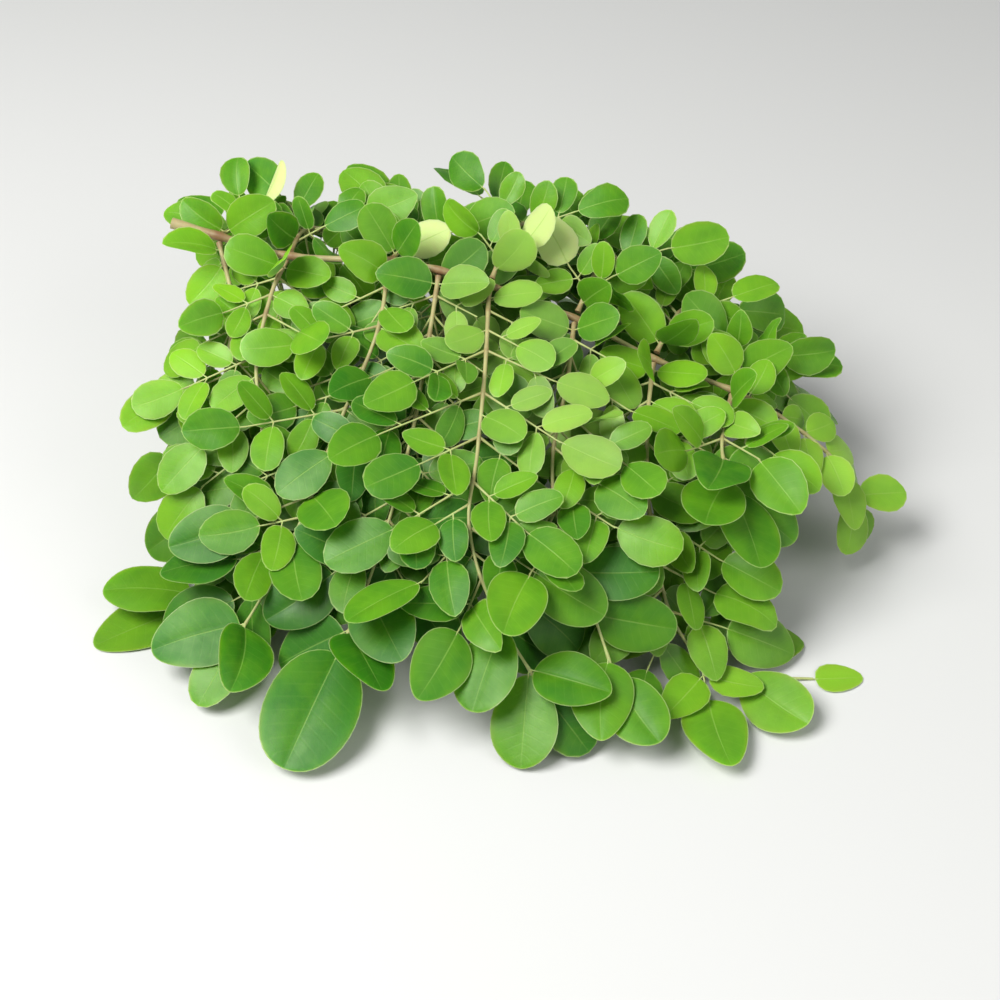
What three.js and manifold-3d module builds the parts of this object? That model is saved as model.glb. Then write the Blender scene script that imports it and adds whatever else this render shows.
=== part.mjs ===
// A cut moringa leaf sprig lying in a heap. It is one compound leaf, three times divided. The jointed
// main stalk has a swollen foot where it was cut, and carries side sprays, most of them in pairs.
// A spray has a thin stalk with pairs of twigs, and a twig has pairs of oval leaflets and an end one.
// Lengths are millimetres and angles are degrees. +Z is up and the front of the heap looks to -Y.
// The origin is under the middle of the heap, on the surface that it lies on.
import * as THREE from "three";
import { mergeVertices } from "three/addons/utils/BufferGeometryUtils.js";
import Module from "manifold-3d";

// The middle of the heap, in the frame that the routes below are written in.
const MIDDLE_X = 2.2;
const MIDDLE_Y = 10.4;

const SEED = 2027;

// The leaflets. Those of a spray get larger from its base to its tip.
const LEAFLET_LENGTH = 15;
const GROWTH_AT_BASE = 0.8;
const GROWTH_AT_TIP = 1.3;
const WIDTH_TO_LENGTH = 0.65;
const END_LEAFLET_GROWTH = 1.18;
const END_WIDTH_TO_LENGTH = 0.74;
const SIZE_SPREAD = 0.1;
const BLADE_THICKNESS = 0.6;
const BLADE_ARCH = 0.035;
const LEAFLET_STALK = 1.4;
const LEAFLET_ANGLE = 58;
const LEAFLET_OVERLAP_ROLL = 11;
const ROLL_SPREAD = 9;
const PITCH_SPREAD = 11;
const SWING_SPREAD = 8;
const ANGLE_SPREAD = 6;

// Leaflets shorter than this are too fine to be modelled as solids.
const SMALLEST_SOLID_LEAFLET = 14.4;

// The twigs of a spray. Their lengths are shares of the spray's longest.
const LEAFLET_SPACING = 9.5;
const TWIG_ANGLE_AT_BASE = 68;
const TWIG_ANGLE_AT_TIP = 44;
const FIRST_TWIG_SHARE = 0.42;
const TWIG_TAPER = 0.84;
const TWIG_ANGLE_SPREAD = 5;
const TWIG_LEAN_SPREAD = 7;
const TWIG_SAG = 0.18;
const TWIG_HALF_WIDTH = 0.4;
const NECK_HALF_WIDTH = 0.4;
const END_OVERLAP = 0.8;
const BACK_RISE = 0.85;

// The single leaflets at the foot of each spray.
const BASAL_AT = 2.5;
const BASAL_TURNS = [80, -80, 35, -35];
const BASAL_RISE = 0.35;
const BASAL_GROWTH = 0.85;

// The stalks.
const SPRAY_HALF_SIDE_AT_BASE = 0.65;
const SPRAY_HALF_SIDE_AT_TIP = 0.4;
const MAIN_RADIUS_AT_CUT = 1.2;
const MAIN_RADIUS_AT_TIP = 0.8;
const MAIN_STEPS = 40;
const MAIN_SIDES = 6;
const JOINT_SWELLING = 0.5;
const JOINT_LENGTH = 3;
const FOOT_SWELLING = 0.8;
const FOOT_LENGTH = 9;
const JOINT_GAP = 0.35;

// How far apart things grow.
const CLEARANCE = 1;
const BEAD_SPACING = 2.2;
const RIM_POINTS = 16;
const RIM_MARGIN = 1.1;
const FREE_AT_FOOT = 5;
const LOWEST = 1.2;
const SAME_POINT = 1e-4;

const LEAF_GREEN = 0x5b9a2e;
const LEAF_ROUGHNESS = 0.55;
const STALK_TAN = 0xa58a5c;
const STALK_ROUGHNESS = 0.6;

// The ways in which the blades of the front, of the crest and of the back look.
const TOWARDS_FRONT = [0, -0.5, 0.87];
const UPRIGHT = [0, -0.8, 0.6];
const TOWARDS_BACK = [0, 0.6, 0.8];

// The main stalk, from its cut foot through its eight joints.
const MAIN_ROUTE = [
  [-93, 46, 77],
  [-80, 44, 74],
  [-60, 40, 70],
  [-31, 36, 71],
  [-17, 33, 70],
  [-3, 30, 67],
  [21, 24, 60],
  [43, 16, 52],
  [65, 8, 47],
];

// The side sprays, those that lie on top first. Each grows from a joint of the main stalk along its
// route, with pairs of twigs up to reach long, and a leaflet of length end at its tip. The tip
// leaflets that lie on the surface carry the heap.
const SPRAYS = [
  {
    name: "front_4", joint: 4, pairs: 9, reach: 30, end: 33,
    route: [[-20, 10, 60], [-24, -14, 48], [-30, -36, 36], [-37, -52, 23], [-42, -61, 16]],
  },
  {
    name: "front_5", joint: 5, pairs: 9, reach: 32, end: 19,
    route: [[-4, 4, 59], [-6, -20, 49], [-8, -40, 41], [-2, -56, 28], [11, -71, 12]],
  },
  {
    name: "front_3", joint: 3, pairs: 9, reach: 34, end: 18,
    route: [[-34, 14, 62], [-44, -9, 48], [-53, -32, 35], [-62, -44, 22], [-71, -54, 11]],
  },
  {
    name: "front_7", joint: 7, pairs: 9, reach: 26, end: 13, lies: true,
    route: [[40, -8, 47], [40, -30, 35], [46, -50, 16], [60, -58, 4], [84, -57, 0.5]],
  },
  {
    name: "front_6", joint: 6, pairs: 9, reach: 30, end: 21,
    route: [[18, 0, 55], [14, -20, 46], [16, -38, 37], [24, -54, 24], [30, -67, 12]],
  },
  {
    name: "front_2", joint: 2, pairs: 9, reach: 26, end: 25, lies: true,
    route: [[-64, 26, 66], [-67, 8, 56], [-65, -8, 43], [-69, -20, 27], [-79, -26, 10], [-89, -32, 0.5]],
  },
  {
    name: "front_8", joint: 8, pairs: 5, reach: 20, end: 25,
    route: [[62, -2, 46], [60, -14, 44], [62, -25, 40]],
  },
  {
    name: "front_1", joint: 1, pairs: 6, reach: 15, end: 15,
    route: [[-75, 26, 62], [-77, 10, 48], [-79, -4, 34], [-82, -14, 20]],
  },
  {
    name: "tip", joint: 8, pairs: 6, reach: 8, end: 12, leafSize: 0.72,
    route: [[76, 2, 44], [88, -3, 37], [97, -6, 28], [101, -9, 18]],
  },
  {
    name: "back_1", joint: 1, pairs: 6, reach: 18, end: 17, lies: true,
    route: [[-76, 55, 69], [-72, 66, 56], [-69, 77, 34], [-69, 85, 12], [-71, 92, 0.5]],
  },
  {
    name: "back_2", joint: 2, pairs: 7, reach: 22, end: 16,
    route: [[-57, 52, 70], [-52, 64, 62], [-48, 75, 44], [-46, 84, 24], [-45, 92, 15]],
  },
  {
    name: "back_3", joint: 3, pairs: 7, reach: 22, end: 17,
    route: [[-27, 48, 68], [-21, 61, 60], [-16, 74, 44], [-14, 84, 25], [-13, 92, 16]],
  },
  {
    name: "back_4", joint: 4, pairs: 6, reach: 24, end: 18,
    route: [[-17, 36, 58], [-15, 31, 44], [-12, 22, 30], [-6, 10, 19]],
  },
  {
    name: "back_5", joint: 5, pairs: 7, reach: 26, end: 17,
    route: [[2, 43, 73], [8, 56, 70], [14, 70, 50], [17, 80, 27], [19, 89, 16]],
  },
  {
    name: "back_6", joint: 6, pairs: 7, reach: 26, end: 17, lies: true,
    route: [[27, 36, 67], [34, 48, 63], [40, 61, 42], [45, 71, 17], [49, 79, 0.5]],
  },
  {
    name: "back_7", joint: 7, pairs: 7, reach: 22, end: 16,
    route: [[49, 27, 57], [54, 38, 53], [59, 50, 38], [62, 58, 22], [66, 66, 14]],
  },
  {
    name: "back_8", joint: 8, pairs: 6, reach: 12, end: 16,
    route: [[68, 16, 49], [72, 25, 44], [74, 34, 30], [76, 42, 18]],
  },
];

const wasm = await Module();
wasm.setup();

const UP = new THREE.Vector3(0, 0, 1);
const radians = THREE.MathUtils.degToRad;
const vector = (numbers) => new THREE.Vector3(...numbers);
const curveThrough = (points) => new THREE.CatmullRomCurve3(points.map(vector), false, "catmullrom", 0.5);

let randomState = SEED;

// A draw from -1 to 1, the same on every run.
function draw() {
  randomState = (randomState * 16807) % 2147483647;
  return (randomState / 2147483647) * 2 - 1;
}

// The direction at right angles to `along` that is closest to `wanted`.
function facing(along, wanted) {
  return wanted.clone().addScaledVector(along, -wanted.dot(along)).normalize();
}

// The right hand of something that runs along one direction and faces another.
const rightOf = (along, face) => new THREE.Vector3().crossVectors(along, face).normalize();

// A direction that leaves `along` by an angle, towards `across`.
function leaving(along, across, angle) {
  return along
    .clone()
    .multiplyScalar(Math.cos(radians(angle)))
    .addScaledVector(across, Math.sin(radians(angle)));
}

// A leaflet as the flat oval that the clearance rule works on.
function leafletAt(foot, along, normal, length, widthToLength) {
  const centre = foot.clone().addScaledVector(along, LEAFLET_STALK + length / 2);
  return { foot, along, normal, side: rightOf(along, normal), centre, length, width: length * widthToLength };
}

function rimOf({ centre, along, side, length, width }) {
  return Array.from({ length: RIM_POINTS }, (_, k) => {
    const turn = (k / RIM_POINTS) * 2 * Math.PI;
    return centre
      .clone()
      .addScaledVector(along, (Math.cos(turn) * length) / 2)
      .addScaledVector(side, (Math.sin(turn) * width) / 2);
  });
}

const heightOver = (point, leaflet) => point.clone().sub(leaflet.centre).dot(leaflet.normal);

function isOver(point, leaflet) {
  const from = point.clone().sub(leaflet.centre);
  const along = from.dot(leaflet.along) / (leaflet.length / 2);
  const across = from.dot(leaflet.side) / (leaflet.width / 2);
  return along * along + across * across < RIM_MARGIN;
}

function rimMeets(rim, leaflet) {
  return rim.some((point, k) => {
    const next = rim[(k + 1) % rim.length];
    const here = heightOver(point, leaflet);
    const there = heightOver(next, leaflet);
    if (Math.abs(here) < CLEARANCE && isOver(point, leaflet)) return true;
    return here * there < 0 && isOver(point.clone().lerp(next, here / (here - there)), leaflet);
  });
}

// All that has grown so far, each with the spray that it belongs to, and the spray that grows now.
const grown = { leaflets: [], beads: [], spray: null };

function keepLeaflet(leaflet) {
  grown.leaflets.push({ leaflet, rim: rimOf(leaflet), spray: grown.spray });
}

function keepStalk(beads, spray) {
  grown.beads.push(...beads.map((bead) => ({ ...bead, spray })));
}

// Near its own foot a piece may touch the rest of its own spray.
const isFree = (other, point, foot) => other.spray === grown.spray && point.distanceTo(foot) < FREE_AT_FOOT;

function beadMeets(bead, leaflet) {
  return Math.abs(heightOver(bead.at, leaflet)) < CLEARANCE + bead.radius && isOver(bead.at, leaflet);
}

function leafletIsClear(leaflet) {
  const rim = rimOf(leaflet);
  if (rim.some((point) => point.z < LOWEST)) return false;
  const isNear = (other) =>
    other.centre.distanceTo(leaflet.centre) < (leaflet.length + other.length) / 2 + CLEARANCE;
  const meetsLeaflet = grown.leaflets.some(
    (other) =>
      isNear(other.leaflet) && (rimMeets(rim, other.leaflet) || rimMeets(other.rim, leaflet)),
  );
  if (meetsLeaflet) return false;
  return !grown.beads.some((bead) => !isFree(bead, bead.at, leaflet.foot) && beadMeets(bead, leaflet));
}

// Points along a stalk, close enough together to stand for it in the clearance rule.
function beadsOf(curve, radius) {
  const count = Math.max(2, Math.ceil(curve.getLength() / BEAD_SPACING));
  return Array.from({ length: count + 1 }, (_, k) => ({ at: curve.getPoint(k / count), radius }));
}

function stalkIsClear(beads) {
  const foot = beads[0].at;
  return beads.every(
    (bead) =>
      bead.at.z > LOWEST &&
      !grown.leaflets.some((other) => !isFree(other, bead.at, foot) && beadMeets(bead, other.leaflet)) &&
      !grown.beads.some(
        (other) =>
          !isFree(other, other.at, foot) &&
          bead.at.distanceTo(other.at) < bead.radius + other.radius + CLEARANCE,
      ),
  );
}

// The ways to bend a leaflet clear, as a lift and a turn, and a twig, as a lift and a share of its length.
const LEAFLET_BENDS = [[0, 0], [12, 0], [-12, 0], [0, 14], [0, -14], [24, 0], [-24, 0], [18, 16], [-18, -16]];
const TWIG_BENDS = [
  [0, 1],
  [9, 1],
  [-9, 1],
  [18, 1],
  [0, 0.8],
  [14, 0.8],
  [-14, 0.8],
  [0, 0.6],
  [26, 0.7],
  [0, 0.42],
  [16, 0.42],
  [0, 0.2],
  [20, 0.2],
];

// How much a leaflet rolls, pitches and swings.
const leafletDraws = (roll) => [roll + ROLL_SPREAD * draw(), PITCH_SPREAD * draw(), SWING_SPREAD * draw()];

// A leaflet that grows from `foot`, bent clear of all others, or null where no bend clears it.
function clearLeaflet(foot, along, normal, size, widthToLength, [roll, pitch, swing]) {
  const side = rightOf(along, normal);
  for (const [lift, turn] of LEAFLET_BENDS) {
    const towards = along
      .clone()
      .applyAxisAngle(normal, radians(swing + turn))
      .applyAxisAngle(side, radians(pitch + lift));
    const face = facing(towards, normal).applyAxisAngle(towards, radians(roll));
    const leaflet = leafletAt(foot, towards, face, size, widthToLength);
    if (leafletIsClear(leaflet)) return leaflet;
  }
  return null;
}

// Grows a twig of up to `length` from `foot`: its end leaflet first, and then the pairs towards its
// foot. A twig whose end leaflet fits nowhere is shortened, and in the end left out.
function growTwig(foot, along, normal, length, leafletLength) {
  const lean = TWIG_LEAN_SPREAD * draw();
  const endSize = leafletLength * END_LEAFLET_GROWTH * (1 + SIZE_SPREAD * draw());
  const endDraws = leafletDraws(0);
  const pairDraws = Array.from({ length: 8 }, (_, k) => ({
    size: 1 + SIZE_SPREAD * draw(),
    angle: LEAFLET_ANGLE + ANGLE_SPREAD * draw(),
    draws: leafletDraws(k % 2 ? LEAFLET_OVERLAP_ROLL : -LEAFLET_OVERLAP_ROLL),
  }));
  const side = rightOf(along, normal);
  for (const [lift, share] of TWIG_BENDS) {
    const reach = length * share;
    const pairs = Math.floor(reach / LEAFLET_SPACING);
    const towards = along.clone().applyAxisAngle(side, radians(lean + lift));
    const end = foot.clone().addScaledVector(towards, Math.max(reach, 1));
    end.z -= TWIG_SAG * reach;
    const line = new THREE.LineCurve3(foot, end);
    const tangent = line.getTangent(0);
    const face = facing(tangent, normal);
    const beads = beadsOf(line, TWIG_HALF_WIDTH);
    if (pairs > 0 && !stalkIsClear(beads)) continue;
    const root = pairs > 0 ? end.clone().addScaledVector(tangent, -END_OVERLAP) : foot;
    const endLeaflet = clearLeaflet(root, tangent, face, endSize, END_WIDTH_TO_LENGTH, endDraws);
    if (!endLeaflet) continue;
    keepLeaflet(endLeaflet);
    if (pairs === 0) return { foot, end: foot, tangent, face, endLeaflet, pairs: [] };
    keepStalk(beads, grown.spray);
    const across = rightOf(tangent, face);
    const kept = [];
    for (let k = 2 * pairs - 1; k >= 0; k--) {
      const hand = k % 2 ? 1 : -1;
      const at = (Math.floor(k / 2) + 0.75) / (pairs + 0.5);
      const { size, angle, draws } = pairDraws[k % 8];
      const outwards = leaving(tangent, across, hand * angle);
      const own = leafletLength * (0.82 + 0.18 * at) * size;
      const leaflet = clearLeaflet(line.getPoint(at), outwards, face, own, WIDTH_TO_LENGTH, draws);
      if (!leaflet) continue;
      keepLeaflet(leaflet);
      kept.push({ leaflet, hand, from: at * line.getLength() });
    }
    return { foot, end, tangent, face, endLeaflet, pairs: kept };
  }
  return null;
}

// Grows the leaflet at a spray's end. One that lies on the surface is flat and its underside is on it.
function growEnd({ curve, end, lies, facingAtTip }) {
  const tangent = curve.getTangent(1);
  const foot = curve.getPoint(1).addScaledVector(tangent, -END_OVERLAP);
  const face = facing(tangent, facingAtTip);
  const draws = leafletDraws(0);
  let endLeaflet;
  if (lies) {
    foot.z = BLADE_THICKNESS / 2;
    tangent.setZ(0).normalize();
    face.copy(UP);
    endLeaflet = leafletAt(foot, tangent, face, end, END_WIDTH_TO_LENGTH);
    endLeaflet.flat = true;
  } else {
    endLeaflet = clearLeaflet(foot, tangent, face, end, END_WIDTH_TO_LENGTH, draws);
  }
  if (!endLeaflet) return [];
  keepLeaflet(endLeaflet);
  return [{ foot, end: foot, tangent, face, endLeaflet, pairs: [] }];
}

// The length of a twig as a share of the longest, from the first pair to the last.
const twigShare = (share) => Math.min(FIRST_TWIG_SHARE + 2 * share, 1 - TWIG_TAPER * share ** 1.4);

// Grows the twigs of one side spray, from its tip to its base.
function growTwigs({ curve, pairs, reach, rise, facingAtBase, facingAtTip, leafSize }) {
  const twigs = [];
  for (let k = pairs - 1; k >= 0; k--) {
    const share = k / (pairs - 1);
    const from = curve.getPointAt(k / pairs);
    const to = curve.getPointAt((k + 1) / pairs);
    const point = from.clone().lerp(to, 0.5);
    const tangent = to.sub(from).normalize();
    const across = rightOf(tangent, facing(tangent, UP));
    const facingTo = facingAtBase.clone().lerp(facingAtTip, share).normalize();
    const growth = leafSize * THREE.MathUtils.lerp(GROWTH_AT_BASE, GROWTH_AT_TIP, share);
    for (const hand of [1, -1]) {
      const between = THREE.MathUtils.lerp(TWIG_ANGLE_AT_BASE, TWIG_ANGLE_AT_TIP, share);
      const angle = between + TWIG_ANGLE_SPREAD * draw();
      const length = reach * twigShare(share) * (1 + SIZE_SPREAD * draw());
      const towards = leaving(tangent, across, hand * angle)
        .addScaledVector(UP, rise * (1 - share))
        .normalize();
      const twig = growTwig(point, towards, facing(towards, facingTo), length, LEAFLET_LENGTH * growth);
      if (twig) twigs.push(twig);
    }
  }
  return twigs;
}

// Grows the single leaflets at a spray's own foot, which lean over the joint.
function growBasalLeaflets({ curve, rise, facingAtBase, leafSize }) {
  const tangent = curve.getTangentAt(0);
  const point = curve.getPointAt(BASAL_AT / curve.getLength());
  const across = rightOf(tangent, facing(tangent, UP));
  const twigs = [];
  for (const turn of BASAL_TURNS) {
    const towards = leaving(tangent, across, turn)
      .addScaledVector(UP, BASAL_RISE + rise)
      .normalize();
    const size = LEAFLET_LENGTH * leafSize * BASAL_GROWTH;
    const twig = growTwig(point, towards, facing(towards, facingAtBase), 0, size);
    if (twig) twigs.push(twig);
  }
  return twigs;
}

// A closed geometry through rings of points, all with the same count.
function loft(rings) {
  const count = rings[0].length;
  const faces = [];
  for (let row = 0; row + 1 < rings.length; row++) {
    for (let k = 0; k < count; k++) {
      const a = row * count + k;
      const b = row * count + ((k + 1) % count);
      faces.push(a, b, b + count, a, b + count, a + count);
    }
  }
  const last = (rings.length - 1) * count;
  for (let k = 1; k + 1 < count; k++) {
    faces.push(0, k + 1, k, last, last + k, last + k + 1);
  }
  return geometryOf(rings.flat(), faces);
}

function geometryOf(points, index) {
  const positions = points.flatMap((point) => point.toArray());
  return new THREE.BufferGeometry()
    .setAttribute("position", new THREE.Float32BufferAttribute(positions, 3))
    .setIndex(index);
}

// A ring of points round a place on a stalk that runs along `tangent` with its top towards `top`.
function ring(centre, tangent, top, corners) {
  const face = facing(tangent, top);
  const side = rightOf(tangent, face);
  return corners.map(([u, v]) => centre.clone().addScaledVector(side, u).addScaledVector(face, v));
}

// A spray's tapered square stalk, with a ring half way between every two pairs of twigs.
function sprayStalk({ curve, pairs }) {
  const sideways = UP.clone().cross(curve.getPoint(1).sub(curve.getPoint(0))).normalize();
  const rings = [];
  for (let k = 0; k <= pairs; k++) {
    const at = k / pairs;
    const half = THREE.MathUtils.lerp(SPRAY_HALF_SIDE_AT_BASE, SPRAY_HALF_SIDE_AT_TIP, at);
    const corners = [[half, half], [half, -half], [-half, -half], [-half, half]];
    rings.push(ring(curve.getPointAt(at), curve.getTangentAt(at), sideways, corners));
  }
  return loft(rings);
}

// The main stalk, round, with a swelling at each joint and a swollen foot.
function mainStalk(curve) {
  const foot = vector(MAIN_ROUTE[0]);
  const joints = MAIN_ROUTE.slice(1).map(vector);
  const swelling = (distance, size, length) => size * Math.exp(-((distance / length) ** 2));
  const rings = [];
  for (let step = 0; step <= MAIN_STEPS; step++) {
    const at = step / MAIN_STEPS;
    const centre = curve.getPoint(at);
    const nearest = Math.min(...joints.map((joint) => joint.distanceTo(centre)));
    const radius =
      THREE.MathUtils.lerp(MAIN_RADIUS_AT_CUT, MAIN_RADIUS_AT_TIP, at) +
      swelling(nearest, JOINT_SWELLING, JOINT_LENGTH) +
      swelling(centre.distanceTo(foot), FOOT_SWELLING, FOOT_LENGTH);
    const corners = Array.from({ length: MAIN_SIDES }, (_, k) => {
      const turn = (-k / MAIN_SIDES) * 2 * Math.PI;
      return [Math.cos(turn) * radius, Math.sin(turn) * radius];
    });
    rings.push(ring(centre, curve.getTangent(at), UP, corners));
  }
  return loft(rings);
}

// A thin closed plate from its middle surface: both faces are alike, and walls close its border.
function plate(points, normals, faces) {
  const half = BLADE_THICKNESS / 2;
  const top = points.map((point, k) => point.clone().addScaledVector(normals[k], half));
  const bottom = points.map((point, k) => point.clone().addScaledVector(normals[k], -half));
  const count = points.length;
  const border = new Map();
  const index = [];
  for (const [a, b, c] of faces) {
    index.push(a, b, c, a + count, c + count, b + count);
    for (const [from, to] of [[a, b], [b, c], [c, a]]) {
      if (!border.delete(`${to} ${from}`)) border.set(`${from} ${to}`, [from, to]);
    }
  }
  for (const [from, to] of border.values()) {
    index.push(from, from + count, to + count, from, to + count, to);
  }
  return geometryOf([...top, ...bottom], index);
}

// A blade's outline: its half widths, each with the share of the length that it is at. The first
// outline whose length a leaflet reaches is its own.
const OUTLINES = [
  { from: 21, rows: [[0.2, 0.68], [0.5, 1], [0.82, 0.78]], pointed: true },
  { from: 14, rows: [[0.32, 0.92], [0.78, 0.86]], pointed: true },
  { from: 0, rows: [[0.4, 1], [0.96, 0.5]], pointed: false },
];

// A twig and its leaflets as one thin plate, cut to the rib between the leaflets.
function twigPlate({ foot, end, tangent, face, endLeaflet, pairs }) {
  const points = [];
  const normals = [];
  const faces = [];
  const across = rightOf(tangent, face);
  const length = foot.distanceTo(end);

  function add(point, normal) {
    normals.push(normal);
    return points.push(point) - 1;
  }

  function addToRib(from, hand) {
    const point = foot.clone().addScaledVector(tangent, from);
    return { from, point: add(point.addScaledVector(across, hand * TWIG_HALF_WIDTH), face) };
  }

  // A blade that grows from two points of the rib, on its own right hand and on its left.
  function addBlade(leaflet, right, left) {
    const { rows, pointed } = OUTLINES.find((outline) => leaflet.length >= outline.from);
    const full = LEAFLET_STALK + leaflet.length;
    const arch = leaflet.flat ? 0 : BLADE_ARCH * full;
    const middleAt = (along) =>
      leaflet.foot
        .clone()
        .addScaledVector(leaflet.along, full * along)
        .addScaledVector(leaflet.normal, 4 * arch * along * (1 - along));
    let before = [right, left];
    for (const [along, width] of rows) {
      const row = [1, -1].map((hand) => {
        const point = middleAt(along).addScaledVector(leaflet.side, (hand * width * leaflet.width) / 2);
        return add(point, leaflet.normal);
      });
      faces.push([before[0], row[0], row[1]], [before[0], row[1], before[1]]);
      before = row;
    }
    if (pointed) faces.push([before[0], add(middleAt(1), leaflet.normal), before[1]]);
  }

  // The border of the rib on one hand, with a neck for each leaflet.
  function ribBorder(hand) {
    const border = length > 0 ? [addToRib(0, hand)] : [];
    const own = pairs.filter((pair) => pair.hand === hand && pair.leaflet.length >= SMALLEST_SOLID_LEAFLET);
    for (const { leaflet, from } of own.sort((a, b) => a.from - b.from)) {
      const near = addToRib(from - NECK_HALF_WIDTH, hand);
      const far = addToRib(from + NECK_HALF_WIDTH, hand);
      border.push(near, far);
      addBlade(leaflet, hand > 0 ? near.point : far.point, hand > 0 ? far.point : near.point);
    }
    border.push(addToRib(length, hand));
    return border;
  }

  const right = ribBorder(1);
  const left = ribBorder(-1);
  while (right.length > 1 || left.length > 1) {
    const onRight = left.length < 2 || (right.length > 1 && right[1].from <= left[1].from);
    const next = onRight ? right[1] : left[1];
    faces.push([right[0].point, next.point, left[0].point]);
    (onRight ? right : left).shift();
  }
  addBlade(endLeaflet, right[0].point, left[0].point);
  return plate(points, normals, faces);
}

// A closed geometry as a solid that can be joined.
function solidOf(geometry) {
  const { attributes, index } = mergeVertices(geometry, SAME_POINT);
  const mesh = new wasm.Mesh({
    numProp: 3,
    vertProperties: attributes.position.array,
    triVerts: new Uint32Array(index.array),
  });
  return new wasm.Manifold(mesh);
}

function meshOf(solid, name, color, roughness) {
  const { vertProperties, triVerts } = solid.getMesh();
  const geometry = new THREE.BufferGeometry()
    .setAttribute("position", new THREE.BufferAttribute(vertProperties, 3))
    .setIndex(new THREE.BufferAttribute(triVerts, 1));
  geometry.computeVertexNormals();
  const material = new THREE.MeshStandardMaterial({ color, roughness, metalness: 0 });
  const mesh = new THREE.Mesh(geometry, material);
  mesh.name = name;
  mesh.position.set(-MIDDLE_X, -MIDDLE_Y, 0);
  return mesh;
}

// A spray's stalk starts just clear of the joint that it grows from.
function sprayCurve({ joint, route }) {
  const centre = vector(MAIN_ROUTE[joint]);
  const towards = vector(route[0]).sub(centre).normalize();
  const start = centre.addScaledVector(towards, MAIN_RADIUS_AT_CUT + JOINT_SWELLING + JOINT_GAP);
  return curveThrough([start.toArray(), ...route]);
}

const mainCurve = curveThrough(MAIN_ROUTE);
const sprays = SPRAYS.map((spray) => {
  const isBack = spray.name.startsWith("back");
  return {
    leafSize: 1,
    ...spray,
    curve: sprayCurve(spray),
    rise: isBack ? BACK_RISE : 0,
    facingAtBase: vector(isBack ? UPRIGHT : TOWARDS_FRONT),
    facingAtTip: vector(isBack ? TOWARDS_BACK : TOWARDS_FRONT),
  };
});

keepStalk(beadsOf(mainCurve, MAIN_RADIUS_AT_CUT), null);
for (const spray of sprays) keepStalk(beadsOf(spray.curve, SPRAY_HALF_SIDE_AT_BASE), spray.name);
for (const spray of sprays) {
  grown.spray = spray.name;
  spray.twigs = growEnd(spray);
}
for (const spray of sprays) {
  grown.spray = spray.name;
  spray.twigs.push(...growTwigs(spray), ...growBasalLeaflets(spray));
}

const sprig = new THREE.Group();
sprig.add(meshOf(solidOf(mainStalk(mainCurve)), "main_stalk", STALK_TAN, STALK_ROUGHNESS));
for (const spray of sprays) {
  const pieces = [sprayStalk(spray), ...spray.twigs.map(twigPlate)];
  const solid = wasm.Manifold.union(pieces.map(solidOf));
  sprig.add(meshOf(solid, `spray_${spray.name}`, LEAF_GREEN, LEAF_ROUGHNESS));
}

export default sprig;
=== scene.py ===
"""The looks of a cut moringa leaf sprig: fine leaflets and stalks round the sprig's frame, on a plain floor.

The sprig is one compound leaf, three times divided, that lies in a loose heap. The rule that places its
twigs and leaflets works in millimetres, in the frame that the routes are written in. Meshes are in metres.
"""

import math

import bpy
import numpy as np
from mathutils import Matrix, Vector


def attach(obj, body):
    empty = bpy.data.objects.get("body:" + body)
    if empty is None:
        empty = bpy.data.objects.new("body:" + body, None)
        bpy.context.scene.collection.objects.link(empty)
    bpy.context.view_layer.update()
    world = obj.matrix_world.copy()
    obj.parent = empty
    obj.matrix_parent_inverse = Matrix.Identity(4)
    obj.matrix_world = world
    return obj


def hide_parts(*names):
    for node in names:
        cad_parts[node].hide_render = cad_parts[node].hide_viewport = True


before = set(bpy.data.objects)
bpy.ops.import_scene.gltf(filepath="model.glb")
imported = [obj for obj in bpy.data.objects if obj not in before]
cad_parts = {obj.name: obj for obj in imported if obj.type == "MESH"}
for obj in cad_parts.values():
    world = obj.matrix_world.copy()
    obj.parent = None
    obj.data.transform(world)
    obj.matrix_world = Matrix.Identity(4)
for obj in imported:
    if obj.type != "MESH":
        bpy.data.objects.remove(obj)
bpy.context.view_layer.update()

bl_info = {
    "name": "Moringa Leaf Sprig",
    "version": (1, 0, 0),
    "blender": (4, 5, 0),
    "location": "View3D > Sidebar > Sprig",
    "description": "Grows a cut moringa leaf sprig with its stalks and leaflets",
    "category": "Object",
}

MM = 0.001

# The middle of the heap, in the frame that the routes below are written in.
MIDDLE = np.array([2.2, 10.4, 0.0])

SEED = 2027

# The leaflets. Those of a spray get larger from its base to its tip.
LEAFLET_LENGTH = 15
GROWTH_AT_BASE = 0.8
GROWTH_AT_TIP = 1.3
WIDTH_TO_LENGTH = 0.65
END_LEAFLET_GROWTH = 1.18
END_WIDTH_TO_LENGTH = 0.74
SIZE_SPREAD = 0.1
SOLID_THICKNESS = 0.6
LEAFLET_STALK = 1.4
LEAFLET_ANGLE = 58
LEAFLET_OVERLAP_ROLL = 11
ROLL_SPREAD = 9
PITCH_SPREAD = 11
SWING_SPREAD = 8
ANGLE_SPREAD = 6

# The twigs of a spray. Their lengths are shares of the spray's longest.
LEAFLET_SPACING = 9.5
TWIG_ANGLE_AT_BASE = 68
TWIG_ANGLE_AT_TIP = 44
FIRST_TWIG_SHARE = 0.42
TWIG_TAPER = 0.84
TWIG_ANGLE_SPREAD = 5
TWIG_LEAN_SPREAD = 7
TWIG_SAG = 0.18
TWIG_HALF_WIDTH = 0.4
END_OVERLAP = 0.8
BACK_RISE = 0.85

# The leaflets of a twig: how many have draws of their own, where the first pair sits and how much longer
# than its pairs a twig is, both in pairs, and the size of the first pair as a share of the last.
DRAWN_LEAFLETS = 8
FIRST_PAIR = 0.75
PAST_PAIRS = 0.5
FIRST_PAIR_SIZE = 0.82

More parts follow.
